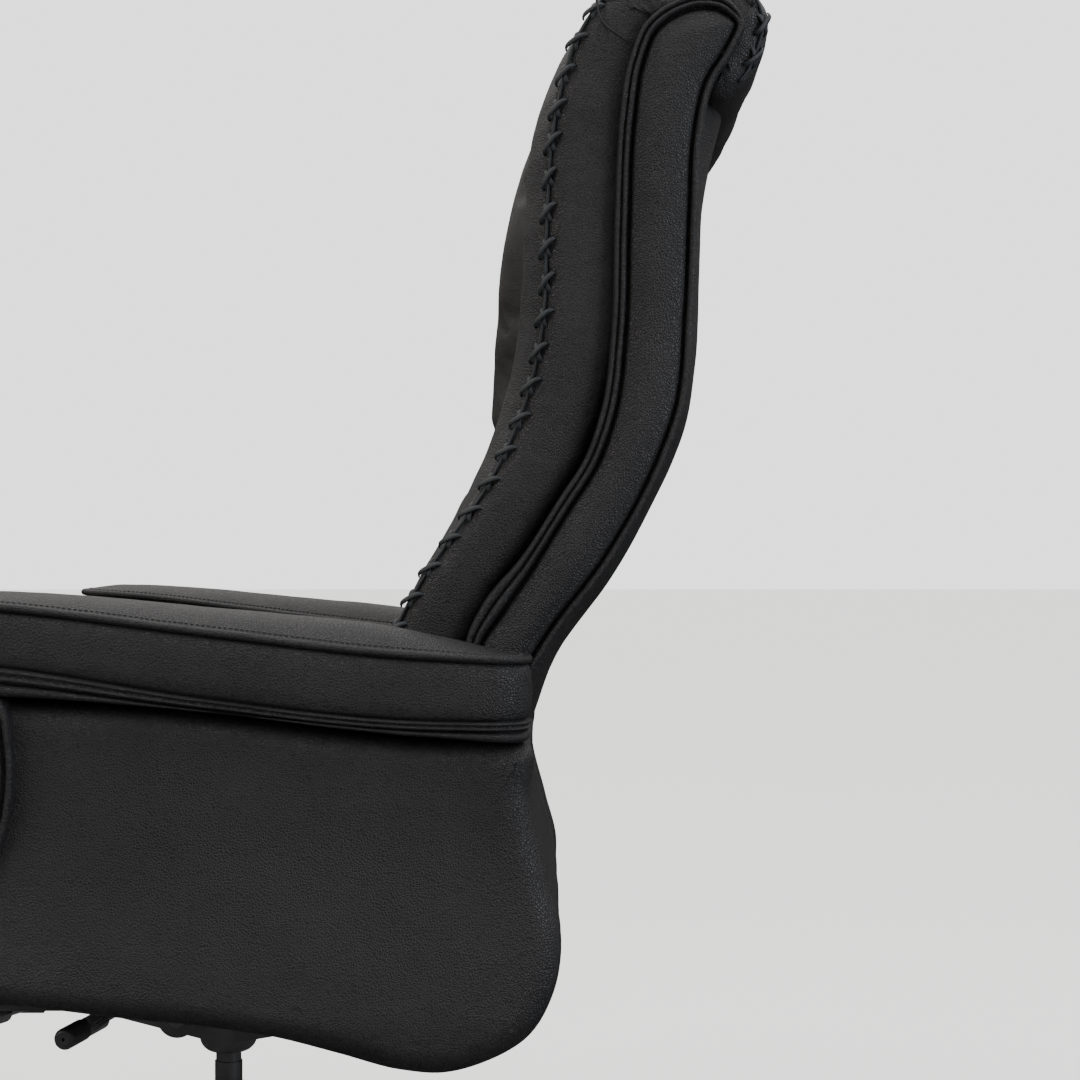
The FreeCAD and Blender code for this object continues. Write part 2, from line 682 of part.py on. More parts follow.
def seat_cushion():
    """The cushion lies on the frame and turns down over its front rail."""
    low = SEAT_Z + FRAME_HEIGHT + SEAM
    top = SEAT_Z + CUSHION_TOP
    front, nose = CUSHION_FRONT, CUSHION_NOSE_R
    half = ARM_INNER - CUSHION_SIDE_GAP
    over = FRAME_FRONT - SEAM
    bend = nose * (1 - math.sqrt(0.5))
    corners = [V(-half, CUSHION_REAR, low), V(-half, CUSHION_REAR, top), V(-half, front + nose, top)]
    down = [V(-half, front, top - nose), V(-half, front, SEAT_Z + 6), V(-half, over, SEAT_Z + 2), V(-half, over, low)]
    nose_arc = Part.Arc(corners[-1], V(-half, front + bend, top - bend), down[0]).toShape()
    edges = [Part.makeLine(a, b) for a, b in zip(corners, corners[1:])]
    edges.append(nose_arc)
    edges += [Part.makeLine(a, b) for a, b in zip(down, [*down[1:], corners[0]])]
    return Part.Face(Part.Wire(edges)).extrude(V(2 * half, 0, 0))


# ---------------------------------------------------------------- arms


def post_arc(grow=0.0):
    """The curved seam's circle, as a disc across the arm."""
    centre = V(ARM_INNER, POST_ARC_Y - POST_ARC_R, SEAT_Z + POST_ARC_Z)
    return rod(POST_ARC_R + grow, centre, centre + V(ARM_OUTER + 20 - ARM_INNER, 0, 0))


def arm_board():
    """The wooden core that is bolted to the side of the seat."""
    rear = ARM_BOARD_REAR
    under = raised(ARM_UNDER_LINE)
    front_top = height_on(under, ARM_FRONT) - SEAM
    rear_top = height_on(under, rear) - SEAM
    middle_top = height_on(under, 0) - SEAM - 1
    foot = SEAT_Z + ARM_BOARD_FOOT
    tail = SEAT_Z + FRAME_HEIGHT * 0.5
    outline = [(rear, tail), (rear, rear_top), (0, middle_top), (ARM_FRONT, front_top), (ARM_FRONT, SEAT_Z + 40)]
    points = [V(ARM_INNER, y, z) for y, z in (*outline, (-150, foot + 22), (0, foot), (200, foot - 20))]
    board = Part.Face(Part.makePolygon([*points, points[0]])).extrude(V(ARM_BOARD, 0, 0))
    for start, end in arm_bolt_lines():
        board = board.cut(rod(BOLT_R + BOLT_CLEAR, start, end))
    return board.cut(arm_pad_room())


def arm_pad_room():
    """Everything above a seam's width under the arm pad."""
    lower = tuple((y, z - SEAM) for y, z in raised(ARM_UNDER_LINE))
    front, rear, high = lower[0][0], lower[-1][0], SEAT_Z + 600
    return slab(ARM_INNER - 1, ARM_OUTER + 10, lower, ((rear, high), (front - 30, high), (front - 30, lower[0][1])))


def arm_pad():
    outline = (raised(ARM_UNDER_LINE), raised(ARM_TOP_LINE))
    return slab(ARM_INNER, ARM_OUTER, *outline)


def side_panel():
    """The padded outer side under the arm, cut back in front for the post."""
    top = tuple((y, z - SEAM) for y, z in reversed(raised(ARM_UNDER_LINE)))
    rear = raised(SIDE_REAR_LINE)
    bottom = raised(SIDE_BOTTOM_LINE)
    top = ((rear[0][0], top[0][1]), *top[1:])
    panel = slab(ARM_INNER + ARM_BOARD + SEAM, ARM_OUTER - 4, rear, bottom, tuple(reversed(top)))
    low = SEAT_Z + POST_LOW
    post_room = post_arc(SEAM).common(box(ARM_INNER, ARM_OUTER + 10, -400, 0, low, SEAT_Z + 400))
    return panel.cut(post_room).cut(box(ARM_INNER, ARM_OUTER + 10, -400, ARM_FRONT + 25, low, SEAT_Z + 400))


def arm_front():
    """The padded front post: flat in front, with the curved seam behind."""
    top = height_on(raised(ARM_UNDER_LINE), ARM_FRONT) - SEAM - 2
    low = SEAT_Z + POST_LOW + SEAM
    block = box(ARM_INNER, ARM_OUTER + 2, POST_FRONT, POST_ARC_Y + 5, low, top)
    board_room = box(0, ARM_INNER + ARM_BOARD + SEAM, ARM_FRONT - SEAM, 0, 0, SEAT_Z + 400)
    return block.common(post_arc()).cut(board_room)


def arm_bolt_lines():
    """From under a bolt's head inside the seat's side rail to its end in the arm board, on both sides."""
    z = SEAT_Z + (BOARD + FRAME_HEIGHT) / 2
    lines = []
    for side in (-1, 1):
        for y in (-120.0, 20.0, 150.0):
            lines.append((V(side * (ARM_INNER - RAIL_WIDTH), y, z), V(side * (ARM_INNER + BOLT_DEPTH), y, z)))
    return lines


def back_bolt_lines():
    """Through the brackets and the back shell into the seat's rear rail."""
    z = SEAT_Z + FRAME_HEIGHT / 2
    rear = FRAME_REAR + SEAM + SHELL + SEAM + BRACKET_SHEET
    return [(V(side * BRACKET_X, rear, z), V(side * BRACKET_X, FRAME_REAR - 26, z)) for side in (-1, 1)]


def frame_bolts():
    """Bolts that hold the arms and the back, each sunk in its rail."""
    bolts = []
    for start, end in (*arm_bolt_lines(), *back_bolt_lines()):
        out = (start - end) * (1 / (start - end).Length)
        head = rod(BOLT_HEAD_R, start, start + out * BOLT_HEAD)
        bolts.append(head.fuse(rod(BOLT_R, start, end)))
    return bolts


# ---------------------------------------------------------------- back


def back_shell():
    """The bent plywood shell that the whole back is built on."""
    front = back_line(SHELL_FRONT_LINE)
    foot = SEAT_Z + SHELL_FOOT
    rear = tuple(reversed([(y + SHELL, z) for y, z in front]))
    outline = (((rear[-1][0], foot), (front[0][0], foot)), front, rear)
    shell = slab(-BACK_HALF + WING + SEAM, BACK_HALF - WING - SEAM, *outline)
    for start, end in back_bolt_lines():
        shell = shell.cut(rod(BOLT_R + BOLT_CLEAR, start, end))
    return shell


def back_bracket(side):
    low = SEAT_Z - BRACKET_SHEET
    x0, x1 = side * BRACKET_X - BRACKET_HALF, side * BRACKET_X + BRACKET_HALF
    inner = FRAME_REAR + SEAM + SHELL + SEAM
    outer = inner + BRACKET_SHEET
    foot = box(x0, x1, outer - BRACKET_RUN, outer, low, SEAT_Z)
    rise = box(x0, x1, inner, outer, low, SEAT_Z + BRACKET_RISE)
    bracket = fused([foot, rise])
    for start, end in back_bolt_lines():
        bracket = bracket.cut(rod(BOLT_R + BOLT_CLEAR, start, end))
    return bracket


def wing():
    """The flat padded panel on the side of the back, with a round head."""
    face = Part.Face(Part.Wire(smooth_loop(raised(WING_OUTLINE), BACK_HALF - WING)))
    return face.extrude(V(WING, 0, 0))


def grown(points, gap):
    """A closed clockwise outline's points, moved outwards by gap."""
    moved = []
    for k, (y, z) in enumerate(points):
        before, after = points[k - 1], points[(k + 1) % len(points)]
        along = math.hypot(after[0] - before[0], after[1] - before[1])
        moved.append((y - gap * (after[1] - before[1]) / along, z + gap * (after[0] - before[0]) / along))
    return moved


def wing_room():
    """The wing with a seam's clearance all round, to cut its neighbours with."""
    outline = grown(raised(WING_OUTLINE), SEAM)
    face = Part.Face(Part.Wire(smooth_loop(outline, BACK_HALF - WING - SEAM)))
    return face.extrude(V(WING + 2 * SEAM, 0, 0))


def padding(x0, x1, front_line, low, high):
    """Padding between a front line and the shell, between two heights over SEAT_Z."""
    front = back_line(front_line)
    rear = tuple(reversed(back_line(SHELL_FRONT_LINE, -SEAM)))
    whole = slab(x0, x1, front, rear)
    reach = 600.0
    return whole.common(box(x0, x1, 0, reach, SEAT_Z + low, SEAT_Z + high))


def bolster():
    inner = BOLSTER_INNER + SEAM
    return padding(inner, BOLSTER_OUTER, BOLSTER_FRONT_LINE, BACK_LOW, BACK_HIGH).cut(wing_room())


def centre_pillow(low, high):
    return padding(-BOLSTER_INNER, BOLSTER_INNER, CENTRE_FRONT_LINE, low, high)


def outer_back():
    """The padded panel that closes the back behind the shell."""
    rear = back_line(OUTER_BACK_LINE, 0.0, OUTER_BACK_LOW, OUTER_BACK_HIGH)
    half = BACK_HALF - WING - SEAM
    shell_rear = back_line(SHELL_FRONT_LINE, SHELL + SEAM)
    whole = slab(-half, half, tuple(reversed(rear)), shell_rear)
    return whole.common(box(-half, half, 0, 600, rear[0][1], rear[-1][1]))


def rear_skirt():
    """The stuffed rear panel under the back, between the arms."""
    rear = raised(SIDE_REAR_LINE)
    half = ARM_INNER - SEAM
    end = raised([(SKIRT_FRONT, height_on(SIDE_BOTTOM_LINE, SKIRT_FRONT) - 0.5)])[0]
    line = (*rear[:-1], end)
    return slab(-half, half, line, ((SKIRT_FRONT, rear[0][1] - 0.5), (rear[0][0], rear[0][1])))


def head_roll():
    """The head pillow rolls over the top of the shell and hangs down behind it."""
    top = raised(ROLL_TOP_LINE)
    shell_top = SEAT_Z + BACK_HIGH + SEAM
    behind = SHELL_FRONT_LINE[-1] + SHELL + 2
    lip = SEAT_Z + OUTER_BACK_HIGH + 12
    under = ((484, lip), (behind - 13, lip))
    up = ((behind - 13, lip), (behind, shell_top))
    along = ((behind, shell_top), (top[0][0], shell_top))
    roll = slab(-BOLSTER_OUTER, BOLSTER_OUTER, ((top[0][0], shell_top), *top[1:]), under, up, along)
    room = wing_room()
    return roll.cut(room).cut(mirrored(room))


def build():
    parts = {
        "star_base": star_base(),
        "lift_outer_tube": lift_outer_tube(),
        "lift_guide_bush": lift_guide_bush(),
        "lift_bearing": lift_bearing(),
        "lift_piston_rod": lift_piston_rod(),
        "lift_cylinder": lift_cylinder(),
        "valve_pin": valve_pin(),
        "mech_housing": mech_housing(),
        "tilt_shaft": tilt_shaft(),
        "tilt_springs": tilt_springs(),
        "mech_top_plate": mech_top_plate(),
        "mech_bolts": mech_bolts(),
        "height_lever_rod": height_lever_rod(),
        "height_lever_grip": lever_grip(HEIGHT_LEVER_Y, HEIGHT_LEVER_TIP),
        "lock_lever_rod": lock_lever_rod(),
        "lock_lever_grip": lever_grip(LOCK_LEVER_Y, LOCK_LEVER_TIP),
        "tension_knob": tension_knob(),
        "tension_screw": tension_screw(),
        "tension_nut": tension_nut(),
        "seat_frame": seat_frame(),
        "seat_cushion": seat_cushion(),
        "frame_fixings": Part.makeCompound([*frame_bolts(), back_bracket(-1), back_bracket(1)]),
        "back_shell": back_shell(),
        "lower_back_pillow": centre_pillow(BACK_LOW, PILLOW_SPLIT),
        "upper_back_pillow": centre_pillow(PILLOW_SPLIT + SEAM, BACK_HIGH),
        "outer_back": outer_back(),
        "rear_skirt": rear_skirt(),
        "head_roll": head_roll(),
    }
    # The camera side of the chair, +X, is its left.
    for name, shape in (
        ("arm_board", arm_board()),
        ("arm_pad", arm_pad()),
        ("side_panel", side_panel()),
        ("arm_front", arm_front()),
        ("back_bolster", bolster()),
        ("back_wing", wing()),
    ):
        parts[f"{name}_left"] = shape
        parts[f"{name}_right"] = mirrored(shape)
    housing, pins, wheels = caster_housing(), caster_pins(), {"a": caster_wheel(1), "b": caster_wheel(-1)}
    for name, arm, heading in caster_places():
        parts[f"{name}_housing"] = placed(housing, arm, heading)
        parts[f"{name}_pins"] = placed(pins, arm, heading)
        for letter, wheel in wheels.items():
            parts[f"{name}_wheel_{letter}"] = placed(wheel, arm, heading)
    return parts


os.makedirs("parts", exist_ok=True)
for node, shape in build().items():
    shape.exportStep(f"parts/{node}.step")
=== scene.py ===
import json
import math

import bmesh
import bpy
import numpy as np
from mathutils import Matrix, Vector, noise


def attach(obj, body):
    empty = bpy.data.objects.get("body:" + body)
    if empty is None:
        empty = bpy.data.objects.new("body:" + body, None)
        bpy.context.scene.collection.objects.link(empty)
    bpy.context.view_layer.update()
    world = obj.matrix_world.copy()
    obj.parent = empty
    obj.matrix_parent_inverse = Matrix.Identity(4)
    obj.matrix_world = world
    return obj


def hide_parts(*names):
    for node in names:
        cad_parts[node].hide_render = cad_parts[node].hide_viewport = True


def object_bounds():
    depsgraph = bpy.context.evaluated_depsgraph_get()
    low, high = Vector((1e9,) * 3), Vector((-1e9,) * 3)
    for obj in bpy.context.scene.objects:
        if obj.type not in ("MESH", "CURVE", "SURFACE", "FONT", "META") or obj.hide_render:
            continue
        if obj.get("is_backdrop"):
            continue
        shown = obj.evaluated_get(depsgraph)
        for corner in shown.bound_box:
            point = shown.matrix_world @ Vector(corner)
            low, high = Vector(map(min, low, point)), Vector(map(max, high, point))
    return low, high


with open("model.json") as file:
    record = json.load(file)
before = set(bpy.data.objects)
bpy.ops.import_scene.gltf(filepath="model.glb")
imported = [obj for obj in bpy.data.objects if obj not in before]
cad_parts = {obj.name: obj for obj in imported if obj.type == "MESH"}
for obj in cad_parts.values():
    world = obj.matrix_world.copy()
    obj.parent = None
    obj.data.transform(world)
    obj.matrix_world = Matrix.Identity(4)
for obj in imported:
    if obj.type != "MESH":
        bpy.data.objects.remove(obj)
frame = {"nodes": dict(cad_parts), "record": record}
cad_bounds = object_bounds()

# Looks of the executive chair, in metres in the frame's own axes: it faces -Y and its left side is +X.
# The upholstery is built from rings of points: an outline, moved inwards towards a spine and raised
# by a profile.

BACK_LOW, BACK_HIGH = 0.470, 1.242
SEAT = "seat"

# Lines up the back: y at evenly spaced heights from BACK_LOW to BACK_HIGH
BOLSTER_FRONT = (0.120, 0.130, 0.157, 0.198, 0.244, 0.2805, 0.298, 0.302, 0.311, 0.346)
CENTRE_FRONT = (0.118, 0.128, 0.155, 0.196, 0.243, 0.2735, 0.2795, 0.285, 0.309, 0.346)
SHELL_FRONT = (0.212, 0.218, 0.245, 0.295, 0.353, 0.393, 0.403, 0.406, 0.4105, 0.428)

# Side views, as (y, z)
WING_OUTLINE = (
    (0.250, 0.691), (0.264, 0.722), (0.300, 0.766), (0.333, 0.817), (0.357, 0.855), (0.372, 0.898),
    (0.381, 0.968), (0.384, 1.068), (0.389, 1.164), (0.397, 1.214), (0.412, 1.249), (0.436, 1.267),
    (0.462, 1.274), (0.487, 1.269), (0.502, 1.250), (0.491, 1.220), (0.475, 1.194), (0.464, 1.148),
    (0.460, 1.078), (0.456, 0.987), (0.447, 0.898), (0.429, 0.848), (0.380, 0.758), (0.331, 0.693),
    (0.306, 0.654), (0.280, 0.620), (0.254, 0.630), (0.246, 0.660),
)  # fmt: skip
WING_SPINE = (
    (0.276, 0.660), (0.318, 0.724), (0.353, 0.780), (0.392, 0.850), (0.409, 0.898), (0.418, 0.978),
    (0.422, 1.073), (0.427, 1.156), (0.438, 1.206), (0.452, 1.236),
)  # fmt: skip
ROLL_OUTLINE = (
    (0.3655, 1.2700), (0.3745, 1.2825), (0.388, 1.2930), (0.404, 1.2995), (0.445, 1.307), (0.484, 1.301),
    (0.512, 1.285), (0.526, 1.258), (0.521, 1.226), (0.508, 1.198), (0.494, 1.184), (0.474, 1.182),
    (0.462, 1.192), (0.457, 1.208), (0.446, 1.219), (0.425, 1.224), (0.404, 1.2270), (0.392, 1.2370),
    (0.379, 1.2530), (0.369, 1.2630),
)  # fmt: skip
ROLL_SPINE = ((0.402, 1.262), (0.418, 1.265), (0.445, 1.266), (0.478, 1.258), (0.492, 1.236), (0.488, 1.212))
ROLL_FRONT = ((1.242, 0.346), (1.250, 0.3512), (1.258, 0.3565), (1.266, 0.3622), (1.274, 0.3690))  # (z, y)
SIDE_OUTLINE = (
    (0.306, 0.600), (0.308, 0.558), (0.3235, 0.490), (0.336, 0.435), (0.328, 0.388), (0.308, 0.355),
    (0.266, 0.331), (0.232, 0.323), (0.198, 0.3255), (0.147, 0.339), (0.078, 0.356), (0.027, 0.3635),
    (-0.058, 0.372), (-0.143, 0.381), (-0.206, 0.385), (-0.212, 0.392), (-0.212, 0.45), (-0.212, 0.55),
    (-0.212, 0.64), (-0.206, 0.646), (-0.12, 0.641), (-0.024, 0.637), (0.095, 0.623), (0.20, 0.610),
    (0.298, 0.6025),
)  # fmt: skip
SIDE_SPINE = ((-0.11, 0.50), (0.0, 0.49), (0.12, 0.475), (0.222, 0.44))
POST_OUTLINE = (
    (-0.222, 0.640), (-0.222, 0.58), (-0.222, 0.50), (-0.2215, 0.43), (-0.219, 0.4225), (-0.213, 0.4215),
    (-0.205, 0.428), (-0.190, 0.440), (-0.166, 0.466), (-0.145, 0.508), (-0.134, 0.552), (-0.132, 0.581),
    (-0.134, 0.610), (-0.1395, 0.638), (-0.143, 0.644), (-0.150, 0.646), (-0.18, 0.647), (-0.214, 0.646),
)  # fmt: skip
POST_SPINE = ((-0.195, 0.478), (-0.180, 0.53), (-0.177, 0.58), (-0.180, 0.605))

# Levels of the arm pad's seams, as heights at the y of PAD_STATIONS
PAD_STATIONS = (-0.212, -0.143, 0.027, 0.198, 0.309)
PAD_CROWN = (0.736, 0.735, 0.7215, 0.7025, 0.6765)
PAD_WELT = (0.7235, 0.7185, 0.6980, 0.6785, 0.6722)
PAD_GROOVE = (0.6770, 0.6705, 0.6445, 0.6258, 0.6236)
PAD_LIP = (0.6640, 0.6575, 0.6355, 0.6178, 0.6150)
PAD_UNDER = (0.6462, 0.6450, 0.6320, 0.6125, 0.6030)
PAD_X = (0.262, 0.360)
PAD_SPINE = ((0.311, -0.160), (0.311, 0.0), (0.311, 0.255))

LACE_X = 0.2365
LACE_HEIGHTS = (0.47, 0.713, 0.755, 0.796, 0.823, 0.881, 0.98, 1.078, 1.144, 1.175, 1.207, 1.242)
LACE_BEHIND = (0.0036, 0.0036, 0.0042, 0.0127, 0.018, 0.0222, 0.0242, 0.0232, 0.0215, 0.018, 0.0155, 0.0085)
LACE_PITCH = 0.0318

# Brightness of the studio's sides, its top and the background that the camera sees
HORIZON, ZENITH, BACKGROUND = 0.05, 3.0, 2.1
EYE = (2.2, 0.317, 0.76)
EYE_SHIFT = 23 / 1080  # the picture's middle lies above the horizon by this share of its width

RNG = np.random.default_rng(7)


# ---------------------------------------------------------------- curves


def hermite(knots, values, x):
    """A smooth curve through values at the knots, at every x."""
    t, p = np.asarray(knots, float), np.asarray(values, float)
    p = p.reshape(len(t), -1)
    x = np.atleast_1d(np.asarray(x, float))
    step = np.diff(t)
    slope = np.diff(p, axis=0) / step[:, None]
    tangent = np.empty_like(p)
    tangent[0], tangent[-1] = slope[0], slope[-1]
    weight = (step[:-1] / (step[:-1] + step[1:]))[:, None]
    tangent[1:-1] = slope[:-1] * (1 - weight) + slope[1:] * weight
    k = np.clip(np.searchsorted(t, x, side="right") - 1, 0, len(t) - 2)
    h = step[k][:, None]
    u = ((x - t[k])[:, None]) / h
    a, b = 2 * u**3 - 3 * u**2 + 1, u**3 - 2 * u**2 + u
    c, d = -2 * u**3 + 3 * u**2, u**3 - u**2
    return a * p[k] + b * h * tangent[k] + c * p[k + 1] + d * h * tangent[k + 1]


def evenly(points, count, closed=False):
    """The same line with its points evenly spaced."""
    p = np.asarray(points, float)
    if closed:
        p = np.vstack([p, p[:1]])
    run = np.r_[0, np.cumsum(np.linalg.norm(np.diff(p, axis=0), axis=1))]
    where = np.linspace(0, run[-1], count, endpoint=not closed)
    return np.column_stack([np.interp(where, run, p[:, k]) for k in range(p.shape[1])])


def curve(points, count, closed=False):
    """Evenly spaced points on a smooth curve through the given ones."""
    p = np.asarray(points, float)
    if closed:
        p = np.vstack([p[-3:], p, p[:3]])
    run = np.r_[0, np.cumsum(np.linalg.norm(np.diff(p, axis=0), axis=1))]
    low, high = (run[3], run[-3]) if closed else (run[0], run[-1])
    dense = hermite(run, p, np.linspace(low, high, 12 * len(p) + 4 * count))
    return evenly(dense[:-1] if closed else dense, count, closed)


def up_the_back(line, z):
    """y of a line up the back at height z."""
    knots = np.linspace(BACK_LOW, BACK_HIGH, len(line))
    rolled = [y - ROLL_FRONT[0][1] + line[-1] for _, y in ROLL_FRONT[1:]]
    knots, line = np.r_[knots, [h for h, _ in ROLL_FRONT[1:]]], np.r_[line, rolled]
    return hermite(knots, line, np.clip(z, BACK_LOW, ROLL_FRONT[-1][0]))[:, 0]


def frames_along(path, closed=False):
    """Tangents, and two directions across that don't twist, at each point of a path."""
    if closed:
        tangent = np.roll(path, -1, axis=0) - np.roll(path, 1, axis=0)
    else:
        tangent = np.gradient(path, axis=0)
    tangent /= np.linalg.norm(tangent, axis=1, keepdims=True)
    side = np.empty_like(path)
    first = np.cross(tangent[0], (1, 0, 0) if abs(tangent[0][0]) < 0.8 else (0, 0, 1))
    side[0] = first / np.linalg.norm(first)
    for k in range(1, len(path)):
        across = side[k - 1] - tangent[k] * np.dot(side[k - 1], tangent[k])
        side[k] = across / np.linalg.norm(across)
    return tangent, side, np.cross(tangent, side)


# ---------------------------------------------------------------- meshes


def add_mesh(name, points, faces, smooth=True):
    mesh = bpy.data.meshes.new(name)
    mesh.from_pydata([tuple(p) for p in points], [], faces)
    mesh.validate()
    body = bmesh.new()
    body.from_mesh(mesh)
    bmesh.ops.recalc_face_normals(body, faces=body.faces)
    body.to_mesh(mesh)
    body.free()
    for face in mesh.polygons:
        face.use_smooth = smooth
    piece = bpy.data.objects.new(name, mesh)
    bpy.context.scene.collection.objects.link(piece)
    return piece


def ring_faces(rings, count, capped=(True, True)):
    """Faces between neighbouring rings of count points, and over the ends that are capped."""
    faces = []
    for r in range(rings - 1):
        low, high = r * count, (r + 1) * count
        for k in range(count):
            n = (k + 1) % count
            faces.append((low + k, low + n, high + n, high + k))
    for end, wanted in zip((0, rings - 1), capped):
        if wanted:
            faces.append(tuple(end * count + k for k in range(count)))
    return faces


def skin(name, rings, capped=(True, True)):
    """A mesh over rings of equally many points. An end without a cap is a line that joins its two sides."""
    piece = add_mesh(name, np.vstack(rings), ring_faces(len(rings), len(rings[0]), capped))
    body = bmesh.new()
    body.from_mesh(piece.data)
    bmesh.ops.triangulate(body, faces=[f for f in body.faces if len(f.verts) > 4])
    bmesh.ops.remove_doubles(body, verts=body.verts, dist=1e-6)
    for face in body.faces:
        face.smooth = True
    body.to_mesh(piece.data)
    body.free()
    return piece


def tube(name, path, radius, sides=10, closed=False, taper=0.0):
    """A round cord along a path; taper thins it towards both ends."""
    points, faces = tube_parts(path, radius, sides, closed, taper=taper)
    return add_mesh(name, points, faces)


def tube_parts(path, radius, sides=10, closed=False, flat=1.0, taper=0.0, normal=None):
    """Points and faces of a round or flattened cord; a normal says which way its flat side faces."""
    path = np.asarray(path, float)
    tangent, side, other = frames_along(path, closed)
    if normal is not None:
        other = normal - tangent * np.sum(normal * tangent, axis=1, keepdims=True)
        other /= np.linalg.norm(other, axis=1, keepdims=True)
        side = np.cross(other, tangent)
    turn = np.linspace(0, 2 * math.pi, sides, endpoint=False)
    along = np.linspace(-1, 1, len(path))
    size = radius * (1 - taper * np.abs(along) ** 3)
    rings = [
        path[k] + size[k] * (np.outer(np.cos(turn), side[k]) + flat * np.outer(np.sin(turn), other[k]))
        for k in range(len(path))
    ]
    faces = ring_faces(len(path), sides, (not closed, not closed))
    if closed:
        last = (len(path) - 1) * sides
        faces += [(last + k, last + (k + 1) % sides, (k + 1) % sides, k) for k in range(sides)]
    return np.vstack(rings), faces


def many_tubes(name, paths, radius, sides=6, flat=1.0, taper=0.0, normals=None):
    """One mesh that holds a cord along each of the paths."""
    points, faces = [], []
    for k, path in enumerate(paths):
        normal = None if normals is None else normals[k]
        more, quads = tube_parts(path, radius, sides, False, flat, taper, normal)
        start = sum(len(p) for p in points)
        points.append(more)
        faces += [tuple(v + start for v in face) for face in quads]
    return add_mesh(name, np.vstack(points), faces)


def nearest_on(spine, outline):
    """For each outline point the nearest point of the spine, evened out along the outline."""
    gaps = np.linalg.norm(outline[:, None, :] - spine[None, :, :], axis=2)
    return even_out(spine[np.argmin(gaps, axis=1)], 30)


def even_out(values, rounds):
    for _ in range(rounds):
        values = (np.roll(values, 1, axis=0) + 2 * values + np.roll(values, -1, axis=0)) / 4
    return values


def inward(outline, centres):
    """Unit directions into the outline, square to it."""
    along = np.roll(outline, -1, axis=0) - np.roll(outline, 1, axis=0)
    across = np.column_stack([-along[:, 1], along[:, 0]])
    across *= np.sign(np.sum(across * (centres - outline), axis=1, keepdims=True))
    across = even_out(across / np.linalg.norm(across, axis=1, keepdims=True), 8)
    return across / np.linalg.norm(across, axis=1, keepdims=True)


def bead(start, end, base, rise, count=7):
    """A welt's round profile between two depths: (depth, height) pairs."""
    turns = np.linspace(0, math.pi, count)
    middle, half = (start + end) / 2, (end - start) / 2
    return [(middle - half * math.cos(t), base + rise * math.sin(t)) for t in turns]


def crown(depth, edge, top, count=7, fullness=2.2):
    """A cushion's swell from its edge to its spine: pairs of a share of the way there and a height."""
    shares = np.linspace(0.04, 1, count)
    return [(("share", depth, s), edge + (top - edge) * (1 - (1 - s) ** fullness)) for s in shares]


def padded(name, outline, spine, profile, place, behind=None, rear=None, width=None, count=360):
    """A padded piece: rings of the outline at the depths and heights of a profile.

    Where behind is 1 the outline takes the rear profile instead, and width scales the depths along it.
    """
    line = curve(outline, count, closed=True)
    middle = curve(spine, 90)
    centres = nearest_on(curve(spine, 200), line)
    ridge = middle[np.argmin(np.linalg.norm(line[:, None, :] - middle[None, :, :], axis=2), axis=1)]
    into = inward(line, centres)
    scale = np.ones(count) if width is None else width(line)
    share_of_rear = np.zeros(count) if behind is None else behind(line)
    rings = []
    for (depth, height), (depth_2, height_2) in zip(profile, rear or profile):
        if isinstance(depth, tuple):
            share = depth[2]
            edge = (depth[1] * (1 - share_of_rear) + depth_2[1] * share_of_rear) * scale
            start = line + into * edge[:, None]
            flat = start + (centres - start) * 0.93 * share
        else:
            edge = (depth * (1 - share_of_rear) + depth_2 * share_of_rear) * scale
            flat = line + into * edge[:, None]
        level = height(flat) if callable(height) else height * (1 - share_of_rear) + height_2 * share_of_rear
        rings.append(place(flat, level))
    open_ends = [isinstance(profile[end][0], tuple) for end in (0, -1)]
    for end, is_open in zip((0, -1), open_ends):
        if is_open:
            height = profile[end][1]
            level = height(ridge) if callable(height) else np.full(count, height)
            rings.insert(0 if end == 0 else len(rings), place(ridge, level))
    return skin(name, rings, (not open_ends[0], not open_ends[1]))


def on_side(sign):
    """Places (y, z) outlines at heights along X, on the left (+1) or the right (-1)."""
    return lambda flat, level: np.column_stack([sign * level, flat[:, 0], flat[:, 1]])


def lying(flat, level):
    """Places (x, y) outlines at heights along Z."""
    return np.column_stack([flat[:, 0], flat[:, 1], level])


def move_points(piece, shift):
    """Moves each vertex by shift(point, normal), given as arrays."""
    mesh = piece.data
    count = len(mesh.vertices)
    points, normals = np.empty(count * 3), np.empty(count * 3)
    mesh.vertices.foreach_get("co", points)
    mesh.vertices.foreach_get("normal", normals)
    points, normals = points.reshape(-1, 3), normals.reshape(-1, 3)
    mesh.vertices.foreach_set("co", (points + shift(points, normals)).ravel())
    mesh.update()


def soften(piece, height=0.0008, size=0.05, seed=0.0):
    """The slight unevenness of stuffing under leather."""

    def shift(points, normals):
        offset = Vector((seed, seed * 0.7, -seed))
        swell = np.array([noise.noise(Vector(p) / size + offset) for p in points])
        fine = np.array([noise.noise(Vector(p) / (size * 0.35) - offset) for p in points])
        return normals * ((swell + 0.35 * fine) * height)[:, None]

    move_points(piece, shift)


